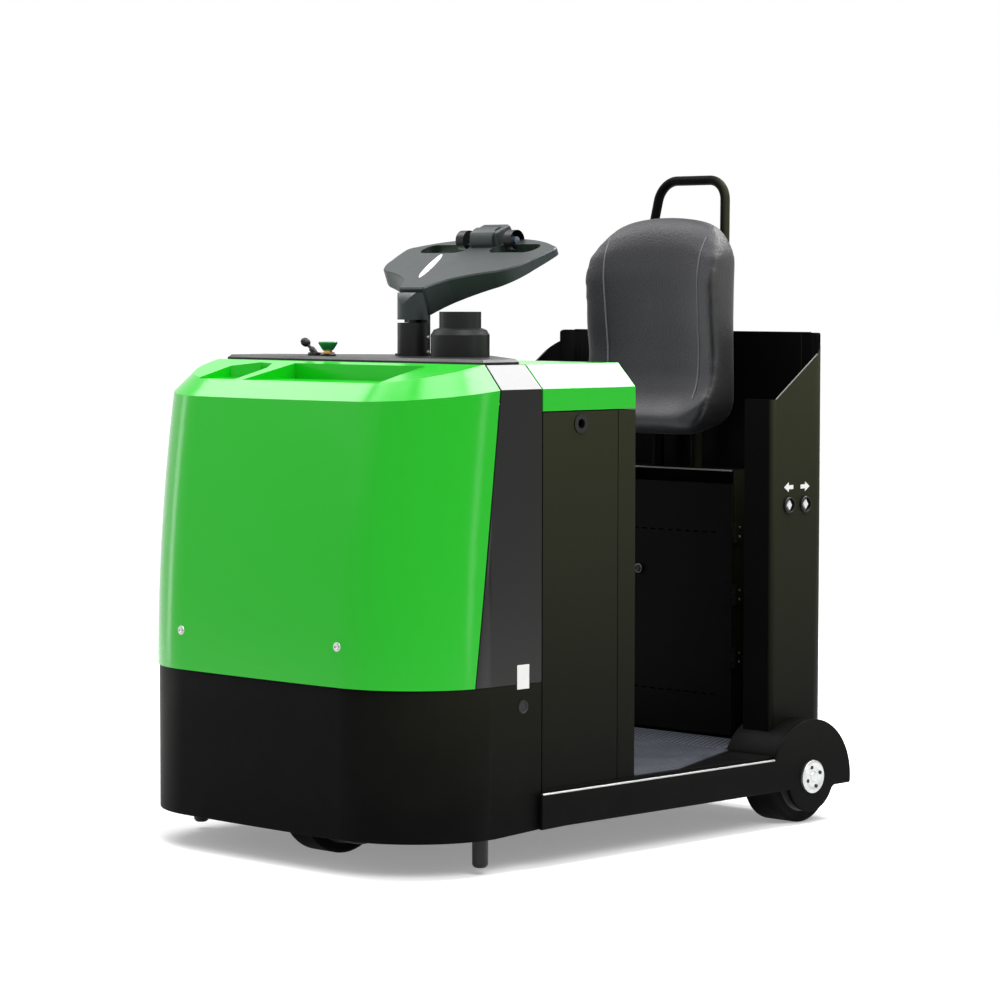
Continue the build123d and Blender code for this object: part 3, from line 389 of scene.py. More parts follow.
edgeWidths = {
    0.0018: ("side_plate_left", "side_plate_right"),
    0.0015: ("front_skirt", "console"),
    0.0014: ("battery_cover",),
    0.0012: ("mid_hoop", "rear_wall"),
    0.001: ("battery_bulkhead", "battery_side_left", "battery_side_right", "wing_left", "wing_right", "floor_mat",
            "wheel_cover_left", "wheel_cover_right"),
}
for width, names in edgeWidths.items():
    for name in names:
        softenEdges(name, width)
print("edges rounded")


# The low and high corners of a CAD node's box
def boxOf(node):
    return [Vector(corner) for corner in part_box(node)]


def middleX(node):
    return sum(corner[0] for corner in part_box(node)) / 2


shift = Matrix.Translation


def turned(degrees, axis):
    return Matrix.Rotation(math.radians(degrees), 4, axis)


def addObject(name, data):
    made = bpy.data.objects.new(name, data)
    bpy.context.scene.collection.objects.link(made)
    return made


def evaluated(piece):
    return piece.evaluated_get(bpy.context.evaluated_depsgraph_get())


# A frame standing at a point with its Z along a direction, as a matrix for the bmesh operators
def standAt(point, along, spin=0.0):
    return shift(point) @ Vector(along).to_track_quat("Z", "Y").to_matrix().to_4x4() @ turned(spin, "Z")


# Where a ray meets a CAD node's surface, and the surface's direction there
def meetNode(name, start, along):
    shape = bmesh.new()
    shape.from_mesh(cadNodes[name].data)
    point, normal, _, _ = BVHTree.FromBMesh(shape).ray_cast(Vector(start), Vector(along))
    shape.free()
    return point, normal


def addBlock(shape, size, place):
    bmesh.ops.create_cube(shape, size=1.0, matrix=place @ Matrix.Diagonal((*size, 1.0)))


# A drum from z = low to z = high of the frame, with two end radii
def addDrum(shape, low, high, lowRadius, highRadius, place, segments=32):
    middle = place @ shift((0, 0, (low + high) / 2))
    bmesh.ops.create_cone(shape, cap_ends=True, segments=segments, radius1=lowRadius, radius2=highRadius,
                          depth=high - low, matrix=middle)


# Turns a profile of (radius, height) pairs round the frame's Z
def addTurned(shape, profile, place, steps):
    corners = [shape.verts.new((radius, 0, height)) for radius, height in profile]
    edges = [shape.edges.new(pair) for pair in zip(corners, corners[1:])]
    spun = bmesh.ops.spin(shape, geom=corners + edges, cent=(0, 0, 0), axis=(0, 0, 1), angle=math.tau, steps=steps,
                          use_merge=True)
    touched = {vert for part in spun["geom_last"] + corners + edges for vert in getattr(part, "verts", [part])}
    grown = set(touched)
    while touched:
        touched = {edge.other_vert(vert) for vert in touched for edge in vert.link_edges} - grown
        grown |= touched
    bmesh.ops.transform(shape, matrix=place, verts=list(grown))
    bmesh.ops.remove_doubles(shape, verts=[vert for vert in grown if vert.is_valid], dist=0.00001)


# Hexagon bolt with its washer, standing on a surface
def addBolt(shape, place, radius, segments=24):
    addDrum(shape, 0, radius * 0.22, radius * 1.5, radius * 1.5, place, segments)
    addDrum(shape, radius * 0.22, radius * 0.9, radius, radius * 0.94, place, 6)
    addDrum(shape, radius * 0.9, radius * 1.02, radius * 0.62, radius * 0.45, place, 12)


# Round-headed screw with a round socket
def addScrew(shape, place, radius, segments=20):
    addTurned(shape, [(radius, 0), (radius * 0.96, radius * 0.35), (radius * 0.7, radius * 0.62),
                      (radius * 0.42, radius * 0.7), (radius * 0.4, radius * 0.3), (0.00002, radius * 0.3)],
              place, segments)


# Bent round bar along a smooth line led by a few points
def makeBar(name, points, radius, body, slot, resolution, loose=None):
    curve = bpy.data.curves.new(name, "CURVE")
    curve.dimensions = "3D"
    curve.bevel_depth = radius
    curve.bevel_resolution = resolution
    curve.use_fill_caps = True
    line = curve.splines.new("NURBS")
    line.points.add(len(points) - 1)
    for spot, point in zip(line.points, points):
        spot.co = (*point, 1.0)
    line.order_u = 3
    line.use_endpoint_u = True
    line.resolution_u = 6
    holder = addObject(name + "Line", curve)
    mesh = bpy.data.meshes.new_from_object(evaluated(holder))
    bpy.data.objects.remove(holder)
    shape = bmesh.new()
    shape.from_mesh(mesh)
    bpy.data.meshes.remove(mesh)
    return finishPiece(shape, name, body, slot, loose=loose)


# Makes an object of the shape, gives it its finish and lets it ride on a body; angle is where edges stay sharp
def finishPiece(shape, name, body, slot, edge=0.0, loose=None, angle=35):
    bmesh.ops.remove_doubles(shape, verts=shape.verts, dist=0.000005)
    bmesh.ops.recalc_face_normals(shape, faces=shape.faces)
    mesh = bpy.data.meshes.new(name)
    shape.to_mesh(mesh)
    shape.free()
    mesh.materials.clear()
    mesh.materials.append(looseFinishes[loose] if loose else finishes[slot])
    for face in mesh.polygons:
        face.use_smooth = True
    mesh.set_sharp_from_angle(angle=math.radians(angle))
    piece = addObject(name, mesh)
    if edge > 0:
        bevel = piece.modifiers.new("edges", "BEVEL")
        bevel.width = edge
        bevel.segments = 2
        bevel.limit_method = "ANGLE"
        bevel.harden_normals = True
    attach(piece, body)
    return piece


# Seat: the plain pad gets its crown and its perch, swells under pressure, then gets its seams.
# Its profile holds (height over the pad's foot, depth from its back) pairs.
seatCushion = {
    "voxel": 0.0062, "shrink": (0.99, 1.04, 0.995), "pressure": 0.6, "frames": 20, "swell": 0.003, "fill": 0.9,
    "crown": 0.030, "cornerDrop": 0.015, "footRise": 0.022, "footTall": 0.10, "bolster": 0.5, "level": 0.012,
    "smoothings": 14, "backGap": 0.0005,
    "profile": [(0.0, 0.060), (0.01, 0.080), (0.02, 0.097), (0.03, 0.104), (0.042, 0.095), (0.062, 0.078),
                (0.09, 0.062), (0.13, 0.052), (0.19, 0.050), (0.27, 0.056), (0.35, 0.062), (0.41, 0.059),
                (0.445, 0.048), (0.465, 0.032), (0.48, 0.016)],
    "seamSide": 0.132, "seamFlare": 0.008, "seamRadius": 0.0019, "seamDrop": 0.045, "seamShort": 0.125,
    "seamSteps": 16,
}


def onProfile(profile, height):
    for (lowHeight, lowDepth), (highHeight, highDepth) in zip(profile, profile[1:]):
        if height <= highHeight:
            share = max((height - lowHeight) / (highHeight - lowHeight), 0.0)
            return lowDepth + (highDepth - lowDepth) * share
    return profile[-1][1]


# Moves the points of the remeshed pad: crowned top, dropped corners, waist over a forward perch
def shapeSeat(mesh, low, high, values):
    reaches = {}
    for vert in mesh.vertices:
        level = round((vert.co.z - low.z) / values["level"])
        reaches[level] = max(reaches.get(level, 0.0), vert.co.x - low.x)
    for vert in mesh.vertices:
        height = vert.co.z - low.z
        across = min(abs(vert.co.y) / high.y, 1.0)
        share = min(max((height / (high.z - low.z) - 0.5) / 0.5, 0.0), 1.0)
        foot = min(max(1.0 - height / values["footTall"], 0.0), 1.0)
        reach = reaches[round(height / values["level"])]
        depth = (vert.co.x - low.x) / max(reach, 0.02)
        raised = 1.0 + values["bolster"] * across ** 3 * (1.0 - share ** 2)
        wanted = onProfile(values["profile"], height) * raised
        vert.co.x = low.x + depth * min(wanted, high.x - low.x)
        drop = values["crown"] * across ** 2.2 + values["cornerDrop"] * across ** 7
        vert.co.z += values["footRise"] * foot * across ** 5 - drop * share ** 2
    mesh.update()


def makeSeat(values):
    low, high = boxOf("seat_pad")
    middle = (low + high) / 2
    middle.x = low.x
    shape = bmesh.new()
    shape.from_mesh(cadNodes["seat_pad"].data)
    bmesh.ops.remove_doubles(shape, verts=shape.verts, dist=0.00001)
    bmesh.ops.scale(shape, vec=values["shrink"], space=shift(-middle), verts=shape.verts)
    piece = finishPiece(shape, "seatCushion", "chassis", "seat_skin", angle=180)
    remesh = piece.modifiers.new("voxels", "REMESH")
    remesh.mode = "VOXEL"
    remesh.voxel_size = values["voxel"]
    voxels = bpy.data.meshes.new_from_object(evaluated(piece))
    piece.modifiers.clear()
    piece.data = voxels
    shapeSeat(piece.data, low, high, values)
    rest = [vert.co.copy() for vert in piece.data.vertices]
    cloth = piece.modifiers.new("cloth", "CLOTH")
    cloth.settings.use_pressure = True
    cloth.settings.uniform_pressure_force = values["pressure"]
    cloth.settings.effector_weights.gravity = 0.0
    for step in range(1, values["frames"] + 1):
        bpy.context.scene.frame_set(step)
    moved = [vert.co.copy() for vert in evaluated(piece).data.vertices]
    piece.modifiers.remove(cloth)
    bpy.context.scene.frame_set(1)
    for vert, start, end in zip(piece.data.vertices, rest, moved):
        step = end - start
        if step.length > values["swell"]:
            step *= values["swell"] / step.length
        vert.co = start + step
    shape = bmesh.new()
    shape.from_mesh(piece.data)
    for _ in range(values["smoothings"]):
        bmesh.ops.smooth_vert(shape, verts=shape.verts, factor=0.5, use_axis_x=True, use_axis_y=True, use_axis_z=True)
    for vert in shape.verts:
        vert.co.x = min(max(vert.co.x, low.x + values["backGap"]), high.x)
    shape.to_mesh(piece.data)
    tree = BVHTree.FromBMesh(shape)
    shape.free()
    smoother = piece.modifiers.new("smooth", "SUBSURF")
    smoother.levels = 1
    smoother.render_levels = 1
    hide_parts("seat_pad")
    # Welted seams from the top edge down to the perch, one near each side
    for side, label in ((1, "Left"), (-1, "Right")):
        line = []
        for step in range(values["seamSteps"] + 1):
            share = step / values["seamSteps"]
            height = high.z - values["seamDrop"] - share * (high.z - low.z - values["seamShort"])
            y = side * (values["seamSide"] + values["seamFlare"] * (1 - share) ** 2)
            spot = tree.ray_cast(Vector((high.x + 0.1, y, height)), Vector((-1, 0, 0)))[0]
            if spot:
                line.append(spot)
        makeBar("seatSeam" + label, line, values["seamRadius"], "chassis", "seat_skin", 3, "seamThread")


makeSeat(seatCushion)
print("seat made")

# Hood: two bolts low on its front, each in a dished washer
hoodBolts = {"side": 0.228, "height": 0.440, "radius": 0.0058, "spin": 15}


def makeHoodBolts(values):
    shape = bmesh.new()
    for side in (1, -1):
        point, normal = meetNode("hood", (1.5, side * values["side"], values["height"]), (-1, 0, 0))
        place = standAt(point, normal, values["spin"])
        addDrum(shape, -0.001, 0.0012, values["radius"] * 1.7, values["radius"] * 1.55, place)
        addScrew(shape, place @ shift((0, 0, 0.001)), values["radius"])
    finishPiece(shape, "hoodBolts", "chassis", "bare_steel")


makeHoodBolts(hoodBolts)

# Side of the front: blank enamel plate over a round plug, on both sides
frontPlates = {"back": 0.0936, "height": 0.376, "size": (0.033, 0.047), "thick": 0.0012, "plugHeight": 0.318,
               "plugRadius": 0.0105}


def makeFrontPlates(values):
    plates = bmesh.new()
    plugs = bmesh.new()
    x = middleX("drive_tyre") - values["back"]
    for side in (1, -1):
        point, normal = meetNode("mid_hoop", (x, side, values["height"]), (0, -side, 0))
        addBlock(plates, (*values["size"], values["thick"]),
                 shift(point + normal * values["thick"] / 2) @ turned(90, "X"))
        point, normal = meetNode("front_skirt", (x, side, values["plugHeight"]), (0, -side, 0))
        radius = values["plugRadius"]
        addTurned(plugs, [(radius * 1.3, 0), (radius * 1.25, 0.0016), (radius, 0.0018), (radius * 0.9, 0.0004),
                          (0.00002, 0.0004)], standAt(point, normal), 28)
    finishPiece(plates, "blankPlates", "chassis", "bare_steel", edge=0.0005, loose="whiteEnamel")
    finishPiece(plugs, "sidePlugs", "chassis", "black_plastic")


makeFrontPlates(frontPlates)
print("hood and front fittings made")

# Steering head: a painted highlight (a pale lens laid on one half only), thumb cones in the dark rings, screen on the
# pod.
# The painted highlight runs between two (back along the slope, sideways) points; the cone's profile holds (radius,
# height) pairs.
headLook = {
    "slope": 22.0, "ahead": 0.030, "face": 1.115, "highlightLens": ((0.076, -0.026), (0.204, -0.081)), "highlightLensWide": 0.017,
    "highlightLensThick": 0.0012, "ringBack": 0.270, "ringSide": 0.058, "ringTall": 0.005, "ringInner": 0.0209,
    "ringDeep": 0.0215, "ringWall": 0.0002, "podBack": 0.278, "podTall": 0.029, "screen": (0.026, 0.046, 0.0016),
    "cone": [(0.0135, 0.0006), (0.012, 0.003), (0.0085, 0.008), (0.0065, 0.015), (0.0078, 0.0185), (0.0072, 0.0212),
             (0.00002, 0.022)],
}


def makeHeadLook(values):
    columnX = middleX("steering_column")
    slope = math.radians(values["slope"])
    frameOnHead = shift((columnX + values["ahead"], 0, values["face"])) @ Matrix((
        (-math.cos(slope), 0, math.sin(slope), 0), (0, -1, 0, 0), (math.sin(slope), 0, math.cos(slope), 0),
        (0, 0, 0, 1)))
    # On this frame X runs back along the slope, Y to the right and Z out of the face
    (startBack, startSide), (endBack, endSide) = values["highlightLens"]
    # Painted highlight: a pale white lens on one half of the head
    highlightLens = bmesh.new()
    thick = values["highlightLensThick"] / 2
    middle = Vector(((startBack + endBack) / 2, -(startSide + endSide) / 2, thick))
    span = Vector((endBack - startBack, -(endSide - startSide), 0))
    lens = frameOnHead @ shift(middle) @ Matrix.Rotation(math.atan2(span.y, span.x), 4, "Z")
    stretch = Matrix.Diagonal((span.length / 2, values["highlightLensWide"] / 2, 1, 1))
    addDrum(highlightLens, -thick, thick, 1.0, 0.97, lens @ stretch, 40)
    finishPiece(highlightLens, "headPaintedHighlight", "steering_handle", "bare_steel", loose="whiteEnamel")
    cones = bmesh.new()
    wells = bmesh.new()
    inner, deep, wall = (values[label] for label in ("ringInner", "ringDeep", "ringWall"))
    well = [(0.00002, 4 * wall), (inner - wall, 4 * wall), (inner, deep), (inner + wall, deep), (inner + wall, wall),
            (0.00002, wall)]
    for side in (1, -1):
        hub = frameOnHead @ Vector((values["ringBack"], -side * values["ringSide"], values["ringTall"]))
        place = standAt(hub, (0, side, 0))
        addTurned(cones, values["cone"], place, 36)
        addTurned(wells, well, place, 36)
    finishPiece(cones, "thumbCones", "steering_handle", "head_plastic", loose="conePlastic")
    finishPiece(wells, "thumbWells", "steering_handle", "black_plastic")
    screen = bmesh.new()
    addBlock(screen, values["screen"], frameOnHead @ shift((values["podBack"], 0, values["podTall"])))
    finishPiece(screen, "headScreen", "steering_handle", "black_plastic", edge=0.0006)


makeHeadLook(headLook)

# Column: two screws on its side; round dial in the instrument pod, with ticks that say nothing
columnScrews = {"azimuth": 104.0, "heights": (0.9925, 1.022), "radius": 0.0044}
dialLook = {
    "face": [(0.042, -0.0045), (0.0405, -0.0002), (0.037, -0.0002), (0.036, -0.0014), (0.00002, -0.0012)],
    "ticks": 11, "firstTurn": -120.0, "tickTurn": 24.0, "tickOut": 0.031, "tick": (0.006, 0.0012, 0.0004),
    "longTick": (0.009, 0.0012, 0.0004), "needleTurn": 60.0, "needleOut": 0.011, "needle": (0.028, 0.0016, 0.0006),
}


def makeColumnScrews(values):
    shape = bmesh.new()
    turn = math.radians(values["azimuth"])
    out = Vector((math.cos(turn), math.sin(turn), 0))
    for height in values["heights"]:
        start = Vector((middleX("steering_column"), 0, height)) + out * 0.06
        point, normal = meetNode("steering_column", start, -out)
        addScrew(shape, standAt(point, normal), values["radius"], 16)
    finishPiece(shape, "columnScrews", "chassis", "bare_steel")


def makeDial(values):
    low, high = boxOf("instrument_pod")
    place = shift(((low.x + high.x) / 2, (low.y + high.y) / 2, high.z))
    face = bmesh.new()
    addTurned(face, values["face"], place, 56)
    finishPiece(face, "dialRing", "chassis", "head_plastic")
    marks = bmesh.new()
    for step in range(values["ticks"]):
        spoke = turned(values["firstTurn"] + values["tickTurn"] * step, "Z")
        size = values["tick"] if step % 5 else values["longTick"]
        addBlock(marks, size, place @ spoke @ shift((values["tickOut"], 0, -0.001)))
    needle = place @ turned(values["needleTurn"], "Z")
    addBlock(marks, values["needle"], needle @ shift((values["needleOut"], 0, -0.0008)))
    finishPiece(marks, "dialMarks", "chassis", "bare_steel", loose="whiteEnamel")


makeColumnScrews(columnScrews)
makeDial(dialLook)
print("steering and dial dressed")

# Emergency stop: green cap on a brass stem, with a lock nut and a ring at its foot
stopButton = {"ringRadius": 0.0165, "stemRadius": 0.0085, "stemTall": 0.0118, "nutRadius": 0.0135, "capRadius": 0.0198,
              "capTop": 0.012}
# Key switch: its turned profile holds (radius, height) pairs, and its lever leans to the right-hand side
keySwitch = [(0.014, 0), (0.014, 0.004), (0.0125, 0.0065), (0.0105, 0.0068), (0.0100, 0.0045), (0.00002, 0.0045)]
keyLever = {"lean": 54.0, "foot": (0, 0.004, 0.004), "length": 0.047, "thick": 0.0062, "knob": (0.0105, 0.0085, 0.011)}


# The foot of a small node on the console, as a frame, and how tall the node is
def standOn(node):
    low, high = boxOf(node)
    return shift(((low.x + high.x) / 2, (low.y + high.y) / 2, low.z)), high.z - low.z


def makeStopButton(values):
    stand, tall = standOn("emergency_stop")
    stemRadius, capRadius = values["stemRadius"], values["capRadius"]
    cap = bmesh.new()
    addTurned(cap, [(0.00002, 0.011), (0.0095, 0.0105), (0.0125, 0.014), (capRadius - 0.0004, tall - 0.004),
                    (capRadius, tall - 0.0022), (capRadius - 0.0012, tall - 0.0004), (values["capTop"], tall),
                    (0.00002, tall)], stand, 48)
    piece = finishPiece(cap, "stopCap", "chassis", "green_plastic")
    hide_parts("emergency_stop")
    stem = bmesh.new()
    addTurned(stem, [(stemRadius, 0.0), (stemRadius, values["stemTall"])], stand, 32)
    addTurned(stem, [(values["nutRadius"], 0.0052), (values["nutRadius"], 0.0072), (stemRadius, 0.0082)], stand, 32)
    finishPiece(stem, "stopStem", "chassis", "bare_steel", loose="brassStem")
    ring = bmesh.new()
    addTurned(ring, [(values["ringRadius"], 0), (values["ringRadius"], 0.003), (values["ringRadius"] - 0.002, 0.005),
                     (stemRadius, 0.0052)], stand, 40)
    finishPiece(ring, "stopRing", "chassis", "black_plastic")


def makeKeySwitch(profile, values):
    stand, _ = standOn("key_switch")
    switch = bmesh.new()
    addTurned(switch, profile, stand, 40)
    piece = finishPiece(switch, "keySwitch", "chassis", "black_plastic")
    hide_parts("key_switch")
    lever = bmesh.new()
    thick, length = values["thick"], values["length"]
    tilt = stand @ shift(values["foot"]) @ turned(values["lean"], "X")
    addTurned(lever, [(0.00002, 0), (thick * 0.8, 0), (thick, 0.006), (thick, 0.016), (thick * 0.55, 0.020),
                      (thick * 0.5, length * 0.7)], tilt, 24)
    knob = tilt @ shift((0, 0, length * 0.82)) @ Matrix.Diagonal((*values["knob"], 1))
    bmesh.ops.create_uvsphere(lever, u_segments=24, v_segments=14, radius=1.0, matrix=knob)
    finishPiece(lever, "keyLever", "chassis", "black_plastic")


makeStopButton(stopButton)
makeKeySwitch(keySwitch, keyLever)

# Inching buttons: round bezels with a pale diamond sunk in each, and an arrow over it
buttonLook = {"inset": 0.017, "ring": 0.0172, "well": 0.0135, "tall": 0.0065, "diamond": (0.0088, 0.0122),
              "arrowLift": 0.0375, "arrowLong": 0.029, "arrowHead": 0.020, "shaft": 0.0085, "thick": 0.0009}


def makeButtons(values):
    low, high = boxOf("inching_buttons")
    centreZ = (low.z + high.z) / 2
    wing = abs(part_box("wing_left")[1][1])
    bezels = bmesh.new()
    caps = bmesh.new()
    arrows = bmesh.new()
    ring, well, tall = (values[label] for label in ("ring", "well", "tall"))
    bezel = [(ring, 0), (ring, tall - 0.002), (ring - 0.0015, tall), (well + 0.0006, tall), (well, tall - 0.0008),
             (well, 0.0008), (0.00002, 0.0008)]
    # Flat arrow drawn as one outline of (along, up) pairs and given its thickness
    half = values["arrowLong"] / 2
    neck = half - values["arrowHead"] * 0.72
    edge, shaft = values["arrowHead"] / 2, values["shaft"] / 2
    outline = [(half, 0), (neck, edge), (neck, shaft), (-half, shaft), (-half, -shaft), (neck, -shaft), (neck, -edge)]
    for side in (1, -1):
        for x, way in ((high.x - values["inset"], 1), (low.x + values["inset"], -1)):
            facing = standAt((0, 0, 0), (0, side, 0))
            addTurned(bezels, bezel, shift((x, side * wing, centreZ)) @ facing, 40)
            wide, upright = values["diamond"]
            diamond = shift((x, side * (wing + 0.0022), centreZ)) @ Matrix.Diagonal((wide, 1, upright, 1))
            addDrum(caps, -0.0014, 0.0014, 1.0, 0.86, diamond @ facing, 4)
            y = side * (wing + values["thick"])
            lift = centreZ + values["arrowLift"]
            corners = [arrows.verts.new((x + way * along, y, lift + up)) for along, up in outline]
            face = arrows.faces.new(corners)
            grown = bmesh.ops.extrude_face_region(arrows, geom=[face])["geom"]
            lifted = [part for part in grown if isinstance(part, bmesh.types.BMVert)]
            bmesh.ops.translate(arrows, vec=(0, -side * values["thick"], 0), verts=lifted)
    piece = finishPiece(bezels, "buttonBezels", "chassis", "black_plastic")
    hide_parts("inching_buttons")
    finishPiece(caps, "buttonCaps", "chassis", "bare_steel", loose="whiteEnamel")
    finishPiece(arrows, "buttonArrows", "chassis", "bare_steel", loose="whiteEnamel")


makeButtons(buttonLook)
print("controls dressed")

# Mat: rows of small raised lozenges inside its edge; it narrows from the bend to the wheel covers
matLozenges = {"length": 0.020, "wide": 0.007, "tall": 0.0016, "pitchX": 0.026, "pitchY": 0.013, "edge": 0.012,
               "bend": 0.402, "coverGap": 0.008}


def makeMatLozenges(values):
    low, high = boxOf("floor_mat")
    bend = middleX("load_tyre_left") + values["bend"]
    gap = values["coverGap"]
    inner = abs(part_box("wheel_cover_left")[0][1]) - gap
    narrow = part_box("wheel_cover_left")[1][0] + gap
    shape = bmesh.new()
    row = 0
    x = low.x + values["edge"]
    while x < high.x - values["edge"]:
        share = min(max((bend - x) / (bend - narrow), 0), 1)
        reach = high.y * (1 - share) + (inner + gap / 2) * share if x > narrow else inner - gap / 2
        y = -reach + values["edge"] + (row % 2) * values["pitchY"] / 2
        while y < reach - values["edge"]:
            place = shift((x, y, high.z - 0.0002))
            stretch = Matrix.Diagonal((values["length"] / 2, values["wide"] / 2, 1, 1))
            bmesh.ops.create_cone(shape, cap_ends=True, segments=6, radius1=1.0, radius2=0.7, depth=values["tall"],
                                  matrix=place @ shift((0, 0, values["tall"] / 2)) @ stretch)
            y += values["pitchY"]
        x += values["pitchX"] / 2
        row += 1
    finishPiece(shape, "matLozenges", "chassis", "mat_rubber", angle=20)


makeMatLozenges(matLozenges)

# Polished half-round along the outer top edge of each side rail
railStrip = {"radius": 0.0034, "inset": 0.004, "height": 0.1424, "endGap": 0.004}


def makeRailStrips(values):
    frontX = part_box("side_plate_left")[1][0] - values["endGap"]
    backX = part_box("wheel_cover_left")[1][0] + values["endGap"]
    for name, side in (("side_plate_left", 1), ("side_plate_right", -1)):
        outer = max(abs(corner[1]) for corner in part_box(name)) - values["inset"]
        line = [(frontX + (backX - frontX) * share, side * outer, values["height"]) for share in (0, 0.5, 1)]
        makeBar("railStrip" + ("Left" if side > 0 else "Right"), line, values["radius"], "chassis", "bare_steel", 4)


makeRailStrips(railStrip)
print("floor dressed")

# Wheels: cap rings and bolts on the axle ends, nuts on the hubs
wheelCaps = {"ring": 0.0325, "dish": 0.021, "bolts": 4, "boltCircle": 0.0215, "boltRadius": 0.0042, "turn": 20.0}
hubNuts = {
    "load": {"inset": 0.014, "circle": 0.045, "count": 5, "radius": 0.0055},
    "drive": {"inset": 0.020, "circle": 0.060, "count": 5, "radius": 0.007},
}


def makeWheelCaps(values):
    rings = bmesh.new()
    holes = bmesh.new()
    low, high = boxOf("load_axles")
    centreZ = (low.z + high.z) / 2
    for side, face in ((1, high.y), (-1, low.y)):
        place = standAt((middleX("load_tyre_left"), face, centreZ), (0, side, 0), values["turn"])
        addTurned(rings, [(values["ring"], -0.0025), (values["ring"], 0.0), (values["ring"] - 0.002, 0.0014),
                          (values["dish"] + 0.004, 0.0014), (values["dish"] - 0.002, -0.0008), (0.011, -0.0004),
                          (0.0095, 0.0016), (0.00002, 0.0022)], place, 56)
        for step in range(values["bolts"]):
            turn = place @ Matrix.Rotation(math.tau * step / values["bolts"], 4, "Z")
            spot = turn @ shift((values["boltCircle"], 0, 0.0006))
            addDrum(holes, 0, 0.0014, values["boltRadius"], values["boltRadius"] * 0.9, spot, 16)
    finishPiece(rings, "axleCaps", "chassis", "bare_steel")
    finishPiece(holes, "capBolts", "chassis", "black_plastic")


def makeHubNuts(name, body, face, side, values):
    low, high = boxOf(name)
    middle = (low + high) / 2
    shape = bmesh.new()
    for step in range(values["count"]):
        turn = Matrix.Rotation(math.tau * step / values["count"], 4, "Y")
        spot = shift((middle.x, face, middle.z)) @ turn @ shift((values["circle"], 0, 0))
        addBolt(shape, spot @ standAt((0, 0, 0), (0, side, 0)), values["radius"], 16)
    finishPiece(shape, name + "Nuts", body, "bare_steel")


makeWheelCaps(wheelCaps)
for name, side in (("left", 1), ("right", -1)):
    inner = min(abs(corner[1]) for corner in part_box("load_hub_" + name)) + hubNuts["load"]["inset"]
    makeHubNuts("load_hub_" + name, "load_wheel_" + name, side * inner, -side, hubNuts["load"])
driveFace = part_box("drive_hub")[0][1] + hubNuts["drive"]["inset"]
makeHubNuts("drive_hub", "drive_wheel", driveFace, -1, hubNuts["drive"])
print("wheels dressed")

# Seat box: screws on the door's hinge leaves, a turn lock in its ring, and a hem on the box's top front edge; the ring
# and the hem are pale grey, a painted highlight on these edges.
# The turned profiles hold (radius, height) pairs.
doorLook = {
    "screw": 0.0028, "spread": 0.0095, "hinges": (0.329, 0.4645, 0.600), "leaf": 0.024, "hemRadius": 0.0018,
    "lockSide": -0.063, "lockDrop": 0.195,
    "lock": [(0.0085, 0), (0.008, 0.003), (0.0058, 0.0036), (0.0052, 0.0022), (0.00002, 0.0022)],
    "ring": [(0.0102, 0), (0.0102, 0.0012), (0.0086, 0.0016), (0.0086, 0)],
}


def makeDoorLook(values):
    doorHigh = Vector(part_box("box_door")[1])
    boxLow, boxHigh = boxOf("seat_box")
    screws = bmesh.new()
    for height in values["hinges"]:
        for lift in (-values["spread"], values["spread"]):
            start = Vector((boxHigh.x - values["leaf"], boxHigh.y + 0.1, height + lift))
            point, normal = meetNode("seat_box", start, (0, -1, 0))
            addScrew(screws, standAt(point, normal), values["screw"], 14)
    finishPiece(screws, "hingeScrews", "chassis", "bare_steel")
    start = (doorHigh.x + 0.3, values["lockSide"], doorHigh.z - values["lockDrop"])
    place = standAt(*meetNode("box_door", start, (-1, 0, 0)))
    lock = bmesh.new()
    addTurned(lock, values["lock"], place, 28)
    finishPiece(lock, "doorLock", "box_door", "black_plastic")
    ring = bmesh.new()
    addTurned(ring, values["ring"], place, 32)
    finishPiece(ring, "lockRing", "box_door", "bare_steel", loose="paintedEdgeHighlight")
    line = [(boxHigh.x - 0.002, y, boxHigh.z - 0.001) for y in (boxLow.y + 0.004, 0.0, boxHigh.y - 0.012)]
    makeBar("boxHem", line, values["hemRadius"], "chassis", "black_paint", 4, "paintedEdgeHighlight")


makeDoorLook(doorLook)

# Cowl: hem along the rear wall and the sloped edges of the wings; the wing hems are pale grey, a painted highlight
# along those edges
cowlHem = {"radius": 0.0026, "inset": 0.0016, "drop": 0.0012, "corner": 0.052, "edgeRadius": 0.0015,
           "edgeInset": 0.0014, "frontGap": 0.012, "backGap": 0.034, "steps": 8}


def makeCowlHem(values):
    low, high = boxOf("wing_left")
    reach = high.y - values["corner"]
    wallX, wallZ = low.x + values["inset"], high.z - values["drop"]
    cowl = [(wallX, y, wallZ) for y in (-reach, -high.y * 0.5, 0.0, high.y * 0.5, reach)]
    makeBar("wallHem", cowl, values["radius"], "chassis", "black_paint", 4)
    for side, label in ((1, "Left"), (-1, "Right")):
        line = []
        for step in range(values["steps"] + 1):
            x = high.x - values["frontGap"] + (low.x + values["backGap"] - high.x) * step / values["steps"]
            start = (x, side * (high.y - values["edgeInset"]), high.z + 0.2)
            point, _ = meetNode("wing_" + label.lower(), start, (0, 0, -1))
            if point:
                line.append(point)
        makeBar("wingHem" + label, line, values["edgeRadius"], "chassis", "black_paint", 3, "paintedEdgeHighlight")


makeCowlHem(cowlHem)
print("seat box and cowl dressed")

# Tow coupling: four bolts on its plate and a grip round the pin's knob
couplingLook = {"side": 0.058, "lift": 0.075, "bolt": 0.008, "gripDrop": 0.006,
                "grip": [(0.019, -0.004), (0.0205, -0.002), (0.0205, 0.002), (0.019, 0.004)]}


